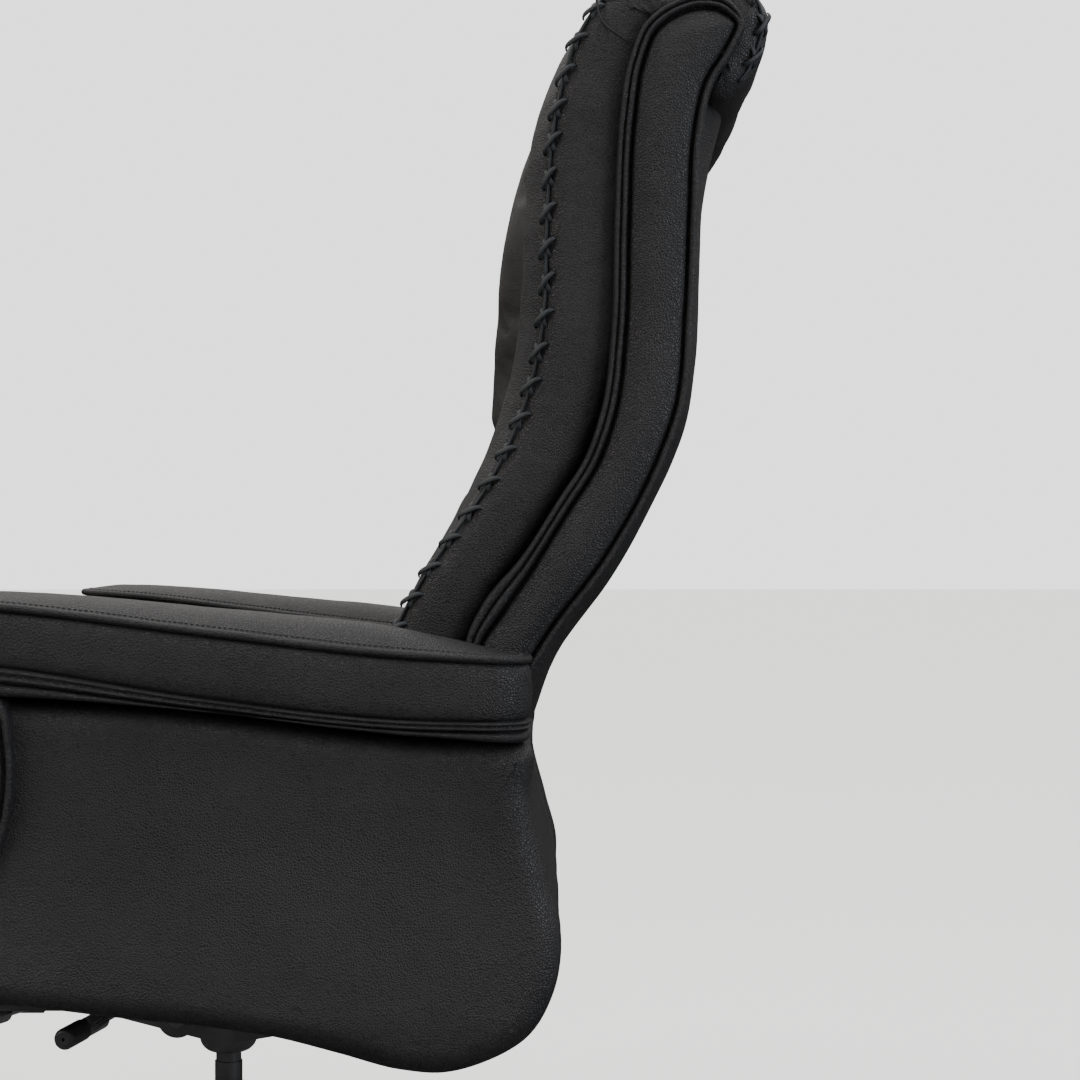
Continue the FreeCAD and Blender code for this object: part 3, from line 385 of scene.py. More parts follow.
def inflate(piece, cap, floor=None, voxel=0.006, pressure=4.0):
    """Blows a padded piece up by a cloth simulation, no point further than cap and none below the floor."""
    scene = bpy.context.scene
    bpy.context.view_layer.objects.active = piece
    remesh = piece.modifiers.new("remesh", "REMESH")
    remesh.mode, remesh.voxel_size, remesh.use_smooth_shade = "VOXEL", voxel, True
    bpy.ops.object.modifier_apply(modifier=remesh.name)
    before = np.array([v.co for v in piece.data.vertices])
    cloth = piece.modifiers.new("cloth", "CLOTH")
    cloth.settings.use_pressure = True
    cloth.settings.uniform_pressure_force = pressure
    cloth.settings.effector_weights.gravity = 0
    cloth.point_cache.frame_start, cloth.point_cache.frame_end = 1, 20
    for frame_number in range(1, 21):
        scene.frame_set(frame_number)
    blown = piece.evaluated_get(bpy.context.evaluated_depsgraph_get()).to_mesh()
    after = np.array([v.co for v in blown.vertices])
    piece.modifiers.remove(cloth)
    scene.frame_set(1)
    shift = np.nan_to_num(after - before)
    length = np.maximum(np.linalg.norm(shift, axis=1, keepdims=True), 1e-9)
    shift *= cap * np.tanh(length / cap) / length
    if floor is not None:
        shift[before[:, 2] < floor + 0.012, 2] = 0
    piece.data.vertices.foreach_set("co", (before + shift).ravel())
    smooth = piece.modifiers.new("smooth", "SUBSURF")
    smooth.levels = smooth.render_levels = 1
    bpy.ops.object.modifier_apply(modifier=smooth.name)
    for face in piece.data.polygons:
        face.use_smooth = True


def laid_on(piece, path, lift):
    """The path moved onto the nearest places of a piece's surface, and lifted off it."""
    placed = []
    for point in path:
        found, spot, normal, _ = piece.closest_point_on_mesh(Vector(point))
        placed.append(tuple(spot + normal * lift) if found else tuple(point))
    return even_out(np.array(placed), 2)


def stitches(name, path, length, gap, radius, out=(0.0, 0.0, 1.0)):
    """A row of thread stitches along a path, each one slightly arched."""
    run = np.r_[0, np.cumsum(np.linalg.norm(np.diff(path, axis=0), axis=1))]
    rows = []
    for start in np.arange(0.004, run[-1] - length, length + gap):
        where = np.linspace(start, start + length, 5)
        row = np.column_stack([np.interp(where, run, path[:, k]) for k in range(3)])
        arch = radius * np.array((-0.9, 0.3, 0.6, 0.3, -0.9))
        rows.append(row + np.outer(arch, out))
    return dress(many_tubes(name, rows, radius, sides=6, taper=0.3), THREAD)


def dress(piece, material, body=SEAT, stands_for=()):
    """Gives a finished piece its material, its body and what it stands for."""
    piece.data.materials.clear()
    piece.data.materials.append(material)
    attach(piece, body)
    if stands_for:
        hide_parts(*stands_for)
    return piece


# ---------------------------------------------------------------- materials


class Shader:
    """A Principled material and a few shorthands for its nodes."""

    def __init__(self, name, color, roughness, **settings):
        self.material = bpy.data.materials.new(name)
        self.material.use_nodes = True
        self.tree = self.material.node_tree
        self.surface = self.tree.nodes["Principled BSDF"]
        self.surface.inputs["Base Color"].default_value = (*color, 1)
        self.surface.inputs["Roughness"].default_value = roughness
        for socket, value in settings.items():
            self.surface.inputs[socket.replace("_", " ")].default_value = value
        self.place = self.add("ShaderNodeTexCoord").outputs["Object"]

    def add(self, kind, **settings):
        node = self.tree.nodes.new(kind)
        for key, value in settings.items():
            setattr(node, key, value)
        return node

    def link(self, start, end):
        self.tree.links.new(start, end)

    def noise(self, scale, detail=3.0, roughness=0.5, distortion=0.0):
        node = self.add("ShaderNodeTexNoise")
        node.inputs["Scale"].default_value = scale
        node.inputs["Detail"].default_value = detail
        node.inputs["Roughness"].default_value = roughness
        node.inputs["Distortion"].default_value = distortion
        self.link(self.place, node.inputs["Vector"])
        return node.outputs["Fac"]

    def ramp(self, value, stops):
        node = self.add("ShaderNodeValToRGB")
        while len(node.color_ramp.elements) < len(stops):
            node.color_ramp.elements.new(0.5)
        for element, (position, color) in zip(node.color_ramp.elements, stops):
            element.position = position
            element.color = color if len(color) == 4 else (*color, 1)
        self.link(value, node.inputs["Fac"])
        return node.outputs["Color"]

    def spread(self, value, low, high):
        """A value from 0 to 1 as one from low to high."""
        node = self.add("ShaderNodeMapRange")
        node.inputs["To Min"].default_value = low
        node.inputs["To Max"].default_value = high
        self.link(value, node.inputs["Value"])
        return node.outputs["Result"]

    def maths(self, kind, a, b):
        node = self.add("ShaderNodeMath", operation=kind)
        for k, value in enumerate((a, b)):
            if isinstance(value, (int, float)):
                node.inputs[k].default_value = value
            else:
                self.link(value, node.inputs[k])
        return node.outputs["Value"]

    def bump(self, height, distance, strength=1.0, under=None):
        node = self.add("ShaderNodeBump")
        node.inputs["Distance"].default_value = distance
        node.inputs["Strength"].default_value = strength
        self.link(height, node.inputs["Height"])
        if under is not None:
            self.link(under, node.inputs["Normal"])
        return node.outputs["Normal"]


def leather(name, color, light, grain=400.0, roughness=(0.38, 0.54), depth=0.0005):
    """Pebbled leather: rounded grains parted by fine valleys, soft creases, a slightly uneven dye, and
    painted shade that darkens the valleys in the base colour.
    """
    shader = Shader(name, color, 0.5, Specular_IOR_Level=0.24)
    bend = shader.add("ShaderNodeTexNoise")
    bend.inputs["Scale"].default_value = 160.0
    bend.inputs["Detail"].default_value = 2.0
    shader.link(shader.place, bend.inputs["Vector"])
    pull = shader.add("ShaderNodeVectorMath", operation="MULTIPLY_ADD")
    shader.link(bend.outputs["Color"], pull.inputs[0])
    pull.inputs[1].default_value = (0.0026, 0.0026, 0.0026)
    shader.link(shader.place, pull.inputs[2])
    edges = shader.add("ShaderNodeTexVoronoi", feature="DISTANCE_TO_EDGE")
    edges.inputs["Scale"].default_value = grain
    shader.link(pull.outputs["Vector"], edges.inputs["Vector"])
    shades = ((0.0, (0, 0, 0)), (0.10, (0.5, 0.5, 0.5)), (0.24, (0.86, 0.86, 0.86)), (0.45, (1, 1, 1)))
    pebbles = shader.ramp(edges.outputs["Distance"], shades)
    creases = shader.noise(26.0, detail=3.0, roughness=0.62, distortion=0.6)
    soft = shader.bump(creases, 0.0022, 0.3)
    shader.link(shader.bump(pebbles, depth, 1.0, under=soft), shader.surface.inputs["Normal"])
    dye = shader.noise(9.0, detail=3.0, roughness=0.6)
    mottled = shader.ramp(dye, ((0.3, color), (0.72, light)))
    # Painted shade: the pebble pattern darkens the base colour in the grain's valleys.
    grain_valley_shade = shader.add("ShaderNodeMix", data_type="RGBA", blend_type="MULTIPLY")
    grain_valley_shade.inputs["Factor"].default_value = 0.55
    shader.link(mottled, grain_valley_shade.inputs["A"])
    shader.link(pebbles, grain_valley_shade.inputs["B"])
    shader.link(grain_valley_shade.outputs["Result"], shader.surface.inputs["Base Color"])
    sheen = shader.maths("ADD", shader.maths("MULTIPLY", dye, 0.5), shader.maths("MULTIPLY", pebbles, 0.5))
    shader.link(shader.spread(sheen, roughness[1], roughness[0]), shader.surface.inputs["Roughness"])
    return shader.material


def moulded_plastic(name, color, roughness=0.45, texture=900.0):
    shader = Shader(name, color, roughness)
    speckle = shader.noise(texture, detail=2.0)
    shader.link(shader.bump(speckle, 0.0001, 0.5), shader.surface.inputs["Normal"])
    wear = shader.noise(35.0, detail=4.0)
    shader.link(shader.spread(wear, roughness - 0.08, roughness + 0.1), shader.surface.inputs["Roughness"])
    lighter = tuple(c * 1.5 for c in color)
    shader.link(shader.ramp(wear, ((0.3, color), (0.75, lighter))), shader.surface.inputs["Base Color"])
    return shader.material


def metal(name, color, roughness, brushed=0.0):
    shader = Shader(name, color, roughness, Metallic=1.0)
    smear = shader.noise(60.0, detail=5.0)
    uneven = shader.spread(smear, roughness * 0.8, roughness * 1.35 + 0.02)
    shader.link(uneven, shader.surface.inputs["Roughness"])
    darker = tuple(c * 0.82 for c in color)
    shader.link(shader.ramp(smear, ((0.35, darker), (0.65, color))), shader.surface.inputs["Base Color"])
    if brushed:
        lines = shader.noise(1400.0, detail=1.0)
        shader.link(shader.bump(lines, 0.00003, brushed), shader.surface.inputs["Normal"])
    return shader.material


def coated_steel(name, color):
    """Powder-coated steel with its fine orange peel."""
    shader = Shader(name, color, 0.4)
    peel = shader.noise(520.0, detail=2.0)
    shader.link(shader.bump(peel, 0.0002, 0.5), shader.surface.inputs["Normal"])
    dust = shader.noise(22.0, detail=5.0)
    shader.link(shader.spread(dust, 0.32, 0.5), shader.surface.inputs["Roughness"])
    lighter = tuple(c * 1.7 + 0.004 for c in color)
    shader.link(shader.ramp(dust, ((0.4, color), (0.8, lighter))), shader.surface.inputs["Base Color"])
    return shader.material


def plywood(name):
    shader = Shader(name, (0.42, 0.28, 0.16), 0.6)
    grain = shader.add("ShaderNodeTexWave", wave_type="BANDS", bands_direction="Z")
    grain.inputs["Scale"].default_value = 45.0
    grain.inputs["Distortion"].default_value = 6.0
    grain.inputs["Detail"].default_value = 3.0
    shader.link(shader.place, grain.inputs["Vector"])
    colors = shader.ramp(grain.outputs["Color"], ((0.1, (0.30, 0.19, 0.10)), (0.9, (0.50, 0.35, 0.21))))
    shader.link(colors, shader.surface.inputs["Base Color"])
    shader.link(shader.bump(grain.outputs["Fac"], 0.0003, 0.4), shader.surface.inputs["Normal"])
    return shader.material


def dust_cover(name):
    """Black non-woven cloth stapled under the seat."""
    shader = Shader(name, (0.012, 0.012, 0.013), 0.9, Specular_IOR_Level=0.1)
    fibres = shader.noise(1500.0, detail=4.0, roughness=0.7)
    shader.link(shader.bump(fibres, 0.0003, 0.7), shader.surface.inputs["Normal"])
    blotches = shader.ramp(shader.noise(60.0), ((0.3, (0.009, 0.009, 0.010)), (0.7, (0.02, 0.02, 0.021))))
    shader.link(blotches, shader.surface.inputs["Base Color"])
    return shader.material


LEATHER = leather("black_leather", (0.0080, 0.0078, 0.0086), (0.0125, 0.0120, 0.0128))
LEATHER_SMOOTH = leather(
    "black_leather_smooth", (0.0085, 0.0080, 0.0082), (0.0135, 0.0126, 0.0125), grain=620.0, depth=0.0003
)
# A lighter, cooler copy of the black leather for the piping and raised seams: its extra lightness is a
# painted highlight.
TRIM_PAINTED_HIGHLIGHT = leather(
    "black_leather_trim_painted_highlight", (0.010, 0.010, 0.0115), (0.016, 0.016, 0.018), grain=900.0, depth=0.00012
)
# The lace is the same black leather tinted blue: the tint is painted cool light.
LACE_PAINTED_COOL_LIGHT = leather("black_lace_painted_cool_light", (0.007, 0.009, 0.011), (0.012, 0.015, 0.018), grain=1200.0, depth=0.00008)
THREAD = moulded_plastic("black_thread", (0.012, 0.012, 0.013), 0.6)


# ---------------------------------------------------------------- upholstery


def wing_profiles():
    """Rim, welt, groove and crowned face of a wing: in front two cords with a seam, behind one cord."""
    rim = [(0.012, 0.2240), (0.004, 0.2245), (0.0005, 0.2275), (0.0, 0.2380), (0.0003, 0.2490)]
    front = rim + bead(0.0005, 0.0060, 0.2505, 0.0050, 9) + bead(0.0064, 0.0118, 0.2510, 0.0054, 9)
    front += [(0.0120, 0.2492), (0.0123, 0.2472), (0.0129, 0.2466), (0.0135, 0.2474)]
    rear = rim + bead(0.0005, 0.0072, 0.2492, 0.0052, 18)
    rear += [(0.0074, 0.2476), (0.0077, 0.2462), (0.0083, 0.2457), (0.0088, 0.2464)]
    for start, profile in ((0.0138, front), (0.0091, rear)):
        for step in (0.0, 0.0005, 0.0013, 0.0026, 0.0046, 0.0072):
            profile.append((start + step, 0.2488 + 0.0078 * (1 - math.exp(-step / 0.0026))))
        edge = 0.2488 + 0.0078 * (1 - math.exp(-0.0072 / 0.0026))
        profile += crown(start + 0.0072, edge, 0.2600, count=9, fullness=2.0)
    return front, rear


def wing(sign, side):
    """The flat side panel of the back, edged by a double welt and a deep seam."""
    heights, middles = [p[1] for p in WING_SPINE], [p[0] for p in WING_SPINE]

    def behind(line):
        share = 1 / (1 + np.exp(-(line[:, 0] - np.interp(line[:, 1], heights, middles)) / 0.006))
        return even_out(share * np.clip((1.268 - line[:, 1]) / 0.02, 0, 1), 12)

    def flare(line):
        return 1 + 0.5 * np.exp(-(((line[:, 1] - 0.728) / 0.030) ** 2)) * (1 - behind(line))

    front, rear = wing_profiles()
    piece = padded(
        f"wing_{side}", WING_OUTLINE, WING_SPINE, front, on_side(sign), behind, rear, flare, count=900
    )
    soften(piece, 0.0004, 0.05, 1.3 * sign)
    dress(piece, LEATHER, stands_for=(f"back_wing_{side}",))
    wing_stitches(sign, side, behind, flare)


def wing_stitches(sign, side, behind, flare):
    """The thread between the wing's two front cords."""
    line = curve(WING_OUTLINE, 900, closed=True)
    depth = 0.0062 * flare(line)[:, None]
    row = (line + inward(line, nearest_on(curve(WING_SPINE, 90), line)) * depth)[behind(line) < 0.4]
    turn = int(np.argmax(np.linalg.norm(np.diff(row, axis=0), axis=1))) + 1
    if turn > 1 and np.linalg.norm(row[turn] - row[turn - 1]) > 0.02:
        row = np.roll(row, -turn, axis=0)
    path = np.column_stack([np.full(len(row), sign * 0.2512), row])
    stitches(f"wing_stitches_{side}", path, 0.0028, 0.0012, 0.0004, out=(float(sign), 0.0, 0.0))


def lace_behind(z):
    return np.interp(z, LACE_HEIGHTS, LACE_BEHIND)


def bolster_section(front, lace, rear, wing_front):
    """A level cut through a side bolster, as a closed (x, y) line."""
    nose = min(1.0, lace / 0.0225)
    hidden = max(wing_front, front + lace + 0.070)
    points = [
        (0.1518, rear - 0.006), (0.1512, front + 0.075), (0.1545, front + 0.036), (0.1640, front + 0.014),
        (0.1800, front + 0.0025), (0.1980, front + 0.0003), (0.2140, front + 0.0055 * nose),
        (0.2270, front + 0.0125 * nose), (0.2340, front + lace - 0.0040), (0.2350, front + lace - 0.0012),
        (0.2366, front + lace + 0.0004), (0.2392, front + lace + 0.0022), (0.2432, front + lace + 0.0085),
        (0.2464, front + lace + 0.0200), (0.2472, front + lace + 0.0350), (0.2455, hidden - 0.017),
        (0.2410, hidden - 0.006), (0.2310, hidden + 0.002), (0.2250, hidden + 0.012), (0.2240, rear - 0.006),
    ]  # fmt: skip
    return curve(points, 110, closed=True)


def lace_line(z):
    """Where the lacing runs up the outside corner of the bolster, for heights z."""
    return np.column_stack([np.full_like(z, LACE_X), up_the_back(BOLSTER_FRONT, z) + lace_behind(z), z])


def bolster(sign, side):
    heights = np.linspace(BACK_LOW + 0.004, ROLL_FRONT[-1][0], 200)
    wing_front = np.interp(heights, [p[1] for p in WING_OUTLINE[:10]], [p[0] for p in WING_OUTLINE[:10]])
    rear = up_the_back(SHELL_FRONT, np.minimum(heights, BACK_HIGH))
    front = up_the_back(BOLSTER_FRONT, heights)
    rings = []
    for z, f, r, w in zip(heights, front, rear, wing_front):
        flat = bolster_section(f, lace_behind(z), max(r, f + 0.045), w)
        rings.append(np.column_stack([sign * flat[:, 0], flat[:, 1], np.full(len(flat), z)]))
    piece = skin(f"bolster_{side}", rings)
    run = lace_line(heights)
    run[:, 0] *= sign

    def pucker(points, normals):
        """The leather is drawn in at each lace hole."""
        lace_y = np.interp(points[:, 2], heights, run[:, 1])
        away = np.hypot(points[:, 1] - lace_y, (points[:, 0] - sign * LACE_X) * 0.6)
        phase = np.cos(2 * math.pi * points[:, 2] / LACE_PITCH)
        return -normals * (0.0012 * np.exp(-((away / 0.011) ** 2)) * (0.5 + 0.5 * phase))[:, None]

    move_points(piece, pucker)
    soften(piece, 0.0012, 0.045, 2.1 * sign)
    dress(piece, LEATHER, stands_for=(f"back_bolster_{side}",))


def cross_stitch(centre, along, out, size=1.0):
    """The two straps of one cross: the upper one lies over the lower one, and both dive into the leather."""
    across = np.cross(along, out)
    straps = []
    for slant, lift, wide, tall in ((1, 0.0042, 0.0080, 0.0106), (-1, 0.0020, 0.0056, 0.0092)):
        shares = np.linspace(-1, 1, 17)
        rise = lift - 0.0024 * shares**2 - 0.0034 * np.abs(shares) ** 7
        straps.append(
            centre
            + np.outer(shares * wide * size, across) * slant
            + np.outer(shares * tall * size, along)
            + np.outer(rise, out)
        )
    return straps


def lacing_path():
    """The line of the lacing on the left: up the bolster's corner and round the end of the head roll."""
    lower = lace_line(np.linspace(0.60, ROLL_FRONT[-1][0] - 0.004, 120))
    lower[:, 1] -= 0.0012
    over = curve(ROLL_OUTLINE[1:11], 120)
    centres = curve(ROLL_SPINE, 200)
    nearest = centres[np.argmin(np.linalg.norm(over[:, None] - centres[None], axis=2), axis=1)]
    over = over + (nearest - over) / np.linalg.norm(nearest - over, axis=1, keepdims=True) * 0.0075
    upper = np.column_stack([np.full(len(over), LACE_X + 0.001), over])
    return evenly(curve(np.vstack([lower[::8], upper[4::8]]), 900), 1200)


def lacing(sign, side):
    """Crosses along the bolster's corner and round the head roll, over one running strand."""
    path = lacing_path()
    tangent = np.gradient(path, axis=0)
    tangent /= np.linalg.norm(tangent, axis=1, keepdims=True)
    forward = np.cross(tangent, (1.0, 0.0, 0.0))
    forward *= np.sign(forward[0] @ np.array((0.0, -1.0, 0.0)))
    forward /= np.linalg.norm(forward, axis=1, keepdims=True)
    out = np.array((1.0, 0.0, 0.0)) * 0.80 + forward * 0.60
    run = np.r_[0, np.cumsum(np.linalg.norm(np.diff(path, axis=0), axis=1))]
    straps, normals = [], []
    for where in np.arange(0.012, run[-1] - 0.006, LACE_PITCH):
        k = int(np.argmin(np.abs(run - where)))
        tilt, size = RNG.normal(0, 0.07), 1 + RNG.normal(0, 0.04)
        along = tangent[k] + np.cross(out[k], tangent[k]) * tilt
        for strap in cross_stitch(path[k], along / np.linalg.norm(along), out[k], size):
            straps.append(strap)
            normals.append(np.tile(out[k], (len(strap), 1)))
    strand = path[::4] + out[::4] * 0.0008
    for item in (*straps, *normals, strand):
        item[:, 0] *= sign
    name = f"lace_crosses_{side}"
    crosses = many_tubes(name, straps, 0.0026, sides=12, flat=0.5, taper=0.3, normals=normals)
    dress(crosses, LACE_PAINTED_COOL_LIGHT)
    dress(tube(f"lace_strand_{side}", strand, 0.0016, sides=8), LACE_PAINTED_COOL_LIGHT)


def head_roll():
    """The rolled pillow over the top of the back."""
    half = 0.2455
    profile = [(0.030, -half + 0.0005)] + [
        (0.030 * (1 - math.sin(a)), -half + 0.026 * (1 - math.cos(a)))
        for a in np.linspace(0.15, math.pi / 2, 9)
    ]
    across = [
        (-0.0010 * math.sin(math.pi * s), -half + 0.026 + (2 * half - 0.052) * s)
        for s in np.linspace(0.02, 0.98, 60)
    ]
    back = [(d, -h) for d, h in reversed(profile)]
    ends_low = [(("share", 0.030, s), -half - 0.002 * math.sin(s * 1.5)) for s in (0.9, 0.6, 0.3)]
    ends_high = [(d, -h) for d, h in reversed(ends_low)]
    rows = ends_low + profile + across + back + ends_high

    def place(flat, level):
        return np.column_stack([level, flat[:, 0], flat[:, 1]])

    piece = padded("head_roll_soft", ROLL_OUTLINE, ROLL_SPINE, rows, place, count=260)

    def gathers(points, normals):
        """Folds where the laced edge is drawn in."""
        near = np.exp(-(((np.abs(points[:, 0]) - LACE_X) / 0.03) ** 2))
        angle = np.arctan2(points[:, 2] - 1.245, points[:, 1] - 0.43)
        return -normals * (near * 0.0012 * (0.5 + 0.5 * np.cos(angle * 17)))[:, None]

    move_points(piece, gathers)
    soften(piece, 0.0018, 0.06, 3.7)
    dress(piece, LEATHER, stands_for=("head_roll",))


def roll_seam(sign, side):
    """The raised edge where a bolster's side meets the end of the head roll."""
    points = (
        (0.3640, 1.2790), (0.3680, 1.2690), (0.3712, 1.2540), (0.3760, 1.2465), (0.3850, 1.2395),
        (0.3990, 1.2300),
    )  # fmt: skip
    line = curve(points, 60)
    path = np.column_stack([np.full(len(line), sign * 0.2474), line])
    dress(tube(f"roll_seam_{side}", path, 0.0011, sides=8, taper=0.5), TRIM_PAINTED_HIGHLIGHT)


def flat_back(xs, y, z):
    """The straight way back along a cushion's flat rear, with an eighth of the points."""
    back = xs[::-8]
    return np.column_stack([back, np.full(len(back), y), np.full(len(back), z)])


def centre_pillow(name, node, low, high, seed):
    """A crowned pillow between the bolsters; it bulges forward and tucks in at its four edges."""
    half = 0.1495
    xs = np.linspace(-1, 1, 81)
    rings = []
    for z in np.linspace(low, high, 70):
        front = float(up_the_back(CENTRE_FRONT, z)[0])
        edge = min(z - low, high - z)
        tuck = 0.030 * (1 - min(1.0, edge / 0.045)) ** 2.4
        side = 0.034 * np.abs(xs) ** 7
        row = np.column_stack([xs * half, front + 0.0015 + tuck + side, np.full(len(xs), z)])
        shell = float(up_the_back(SHELL_FRONT, min(z, BACK_HIGH))[0])
        rear = max(shell - 0.003, float(row[:, 1].max()) + 0.004)
        rings.append(np.vstack([row, flat_back(xs * half, rear, z)]))
    piece = skin(name, rings)
    inflate(piece, 0.007)
    soften(piece, 0.0026, 0.085, seed)
    dress(piece, LEATHER_SMOOTH, stands_for=(node,))


def outer_back():
    """The padded panel behind, that goes up under the head roll; the piping round its edge is not built."""
    low, high, half = 0.6035, 1.192, 0.2305
    heights = np.linspace(low, high, 120)
    knots = (*np.linspace(0.6025, 1.165, 9), high)
    line = (0.307, 0.3345, 0.3835, 0.4235, 0.4545, 0.4655, 0.4685, 0.472, 0.486, 0.494)
    rear = hermite(knots, line, heights)[:, 0]
    inner = up_the_back(SHELL_FRONT, heights) + 0.0148
    xs = np.linspace(-1, 1, 121)
    rings = []
    for z, y, near in zip(heights, rear, inner):
        round_off = (y - near) * 0.6 * np.abs(xs) ** 9
        row = np.column_stack([xs * half, y - round_off - 0.0005, np.full(len(xs), z)])
        rings.append(np.vstack([row, flat_back(xs * half, near, z)]))
    piece = skin("outer_back_panel", rings)
    soften(piece, 0.0014, 0.11, 5.1)
    dress(piece, LEATHER, stands_for=("outer_back",))


def pad_level(values):
    ends = PAD_STATIONS[0], PAD_STATIONS[-1]
    return lambda flat: hermite(PAD_STATIONS, values, np.clip(flat[:, 1], *ends))[:, 0]


def between(low, high, share, lift=0.0):
    """A level that lies part of the way between two others."""
    return lambda flat: low(flat) * (1 - share) + high(flat) * share + lift


def corner_points(corners):
    """A rectangle with round corners, each given as (x, y, radius, first angle)."""
    middle_x, middle_y = np.mean(corners, axis=0)[:2]
    points = []
    for x, y, r, start in corners:
        cx = x - r if x > middle_x else x + r
        cy = y - r if y > middle_y else y + r
        for a in np.radians(np.linspace(start, start + 90, 5)):
            points.append((cx + r * math.cos(a), cy + r * math.sin(a)))
    return points


def arm_pad_outline():
    """The arm pad from above, with points along its long sides too."""
    x0, x1 = PAD_X
    y0, y1 = PAD_STATIONS[0], PAD_STATIONS[-1]
    corners = ((x1, y0, 0.030, -90), (x1, y1, 0.040, 0), (x0, y1, 0.018, 90), (x0, y0, 0.030, 180))
    outline = corner_points(corners)
    dense = []
    for k, point in enumerate(outline):
        dense.append(point)
        after = outline[(k + 1) % len(outline)]
        gap = math.dist(point, after)
        steps = int(gap // 0.03)
        for s in range(1, steps):
            dense.append(tuple(np.array(point) + (np.array(after) - point) * s / steps))
    return dense


def arm_pad_levels():
    """Depths and heights of the arm pad, from its underside over lip, double welt and band to its crown."""
    top, welt, groove = pad_level(PAD_CROWN), pad_level(PAD_WELT), pad_level(PAD_GROOVE)
    lip, under = pad_level(PAD_LIP), pad_level(PAD_UNDER)
    levels = [(("share", 0.02, 0.6), under), (0.020, under), (0.010, between(under, lip, 0.0, 0.0008))]
    for share in (0.12, 0.3, 0.5, 0.7, 0.88):
        levels.append((0.0062 - 0.0040 * math.sin(share * math.pi), between(under, lip, share)))
    levels.append((0.0085, between(under, lip, 1.0, -0.0005)))
    for start, end in ((0.0, 0.5), (0.5, 1.0)):
        for share in (0.15, 0.35, 0.5, 0.65, 0.85):
            inset = 0.0046 - 0.0040 * math.sin(share * math.pi)
            levels.append((inset, between(lip, groove, start + (end - start) * share)))
    levels.append((0.0078, between(lip, groove, 1.0, 0.0004)))
    for share in (0.03, 0.08, 0.16, 0.28, 0.42, 0.56, 0.7, 0.82, 0.91, 0.965):
        inset = 0.0042 * (abs(share - 0.5) * 2) ** 4 + 0.0002
        levels.append((inset, between(groove, welt, share)))
    levels.append((0.0070, between(groove, welt, 1.0, -0.0004)))
    for a in np.linspace(-1.1, 1.5, 8):
        rise = 0.0036 + 0.0036 * math.sin(a)
        levels.append((0.0036 - 0.0036 * math.cos(a), between(welt, welt, 0.0, rise)))
    levels.append((0.0050, between(welt, welt, 0.0, 0.0068)))
    for share in (0.02, 0.06, 0.13, 0.24, 0.38, 0.54, 0.7, 0.85, 1.0):
        rise = 1 - (1 - share) ** 2.1
        levels.append((("share", 0.0055, share), between(between(welt, welt, 0, 0.0068), top, rise)))
    return levels


def arm_pad(sign, side):
    """The long padded arm top: a crowned top panel, a tall band, a double welt and a lip under it."""
    outline = arm_pad_outline()
    piece = padded(
        f"arm_pad_soft_{side}", outline, PAD_SPINE, arm_pad_levels(),
        lambda flat, level: np.column_stack([sign * flat[:, 0], flat[:, 1], level]), count=520,
    )  # fmt: skip
    soften(piece, 0.0007, 0.06, 0.9 * sign)
    dress(piece, LEATHER, stands_for=(f"arm_pad_{side}",))
    line = curve(outline, 700, closed=True)
    line = line + inward(line, nearest_on(curve(PAD_SPINE, 90), line)) * 0.0088
    line = np.vstack([line, line[:1]])
    heights = pad_level(PAD_WELT)(line) + 0.0082
    row = laid_on(piece, np.column_stack([sign * line[:, 0], line[:, 1], heights]), 0.0002)
    stitches(f"arm_pad_stitches_{side}", row, 0.0034, 0.0014, 0.00042)


def side_surface(flat):
    """How far out the side panel stands: hollow under the arm, flared towards the bottom."""
    z = flat[:, 1]
    knots = (0.32, 0.37, 0.42, 0.47, 0.52, 0.57, 0.60, 0.65)
    outs = (0.3690, 0.3705, 0.3640, 0.3565, 0.3500, 0.3470, 0.3475, 0.3500)
    return np.interp(z, knots, outs)


def side_panel(sign, side):
    """The large smooth side of the chair, under the arm."""
    radius = 0.024
    profile = [(0.020, 0.2835), (0.004, 0.2840), (0.0, 0.2900), (0.0, 0.310)]
    for a in np.linspace(0, math.pi / 2, 9):
        drop = radius * (1 - math.sin(a))
        profile.append((radius * (1 - math.cos(a)), lambda flat, d=drop: side_surface(flat) - d))
    for share in (0.1, 0.2, 0.32, 0.45, 0.6, 0.75, 0.9, 1.0):
        profile.append((("share", radius, share), side_surface))
    piece = padded(f"side_panel_soft_{side}", SIDE_OUTLINE, SIDE_SPINE, profile, on_side(sign), count=520)
    soften(piece, 0.0010, 0.13, 4.4 * sign)
    dress(piece, LEATHER, stands_for=(f"side_panel_{side}",))


def arm_front(sign, side):
    """The padded front post, with piping round its outer face."""
    low, high = 0.2625, 0.3615
    profile = [(("share", 0.02, 0.5), low), (0.020, low), (0.006, low + 0.001), (0.0015, low + 0.004)]
    profile += [(0.0, low + 0.012), (-0.0008, 0.30), (-0.0010, 0.33), (-0.0004, 0.345)]
    profile += [(0.0010, high - 0.0085)]
    profile += bead(0.0012, 0.0078, high - 0.0075, 0.0046)
    profile += [(0.0084, high - 0.0100), (0.0092, high - 0.0100), (0.0102, high - 0.0068)]
    profile += crown(0.0112, high - 0.0055, high + 0.0030, count=7)
    piece = padded(f"arm_front_soft_{side}", POST_OUTLINE, POST_SPINE, profile, on_side(sign), count=360)
    soften(piece, 0.0007, 0.05, 6.3 * sign)
    dress(piece, LEATHER, stands_for=(f"arm_front_{side}",))


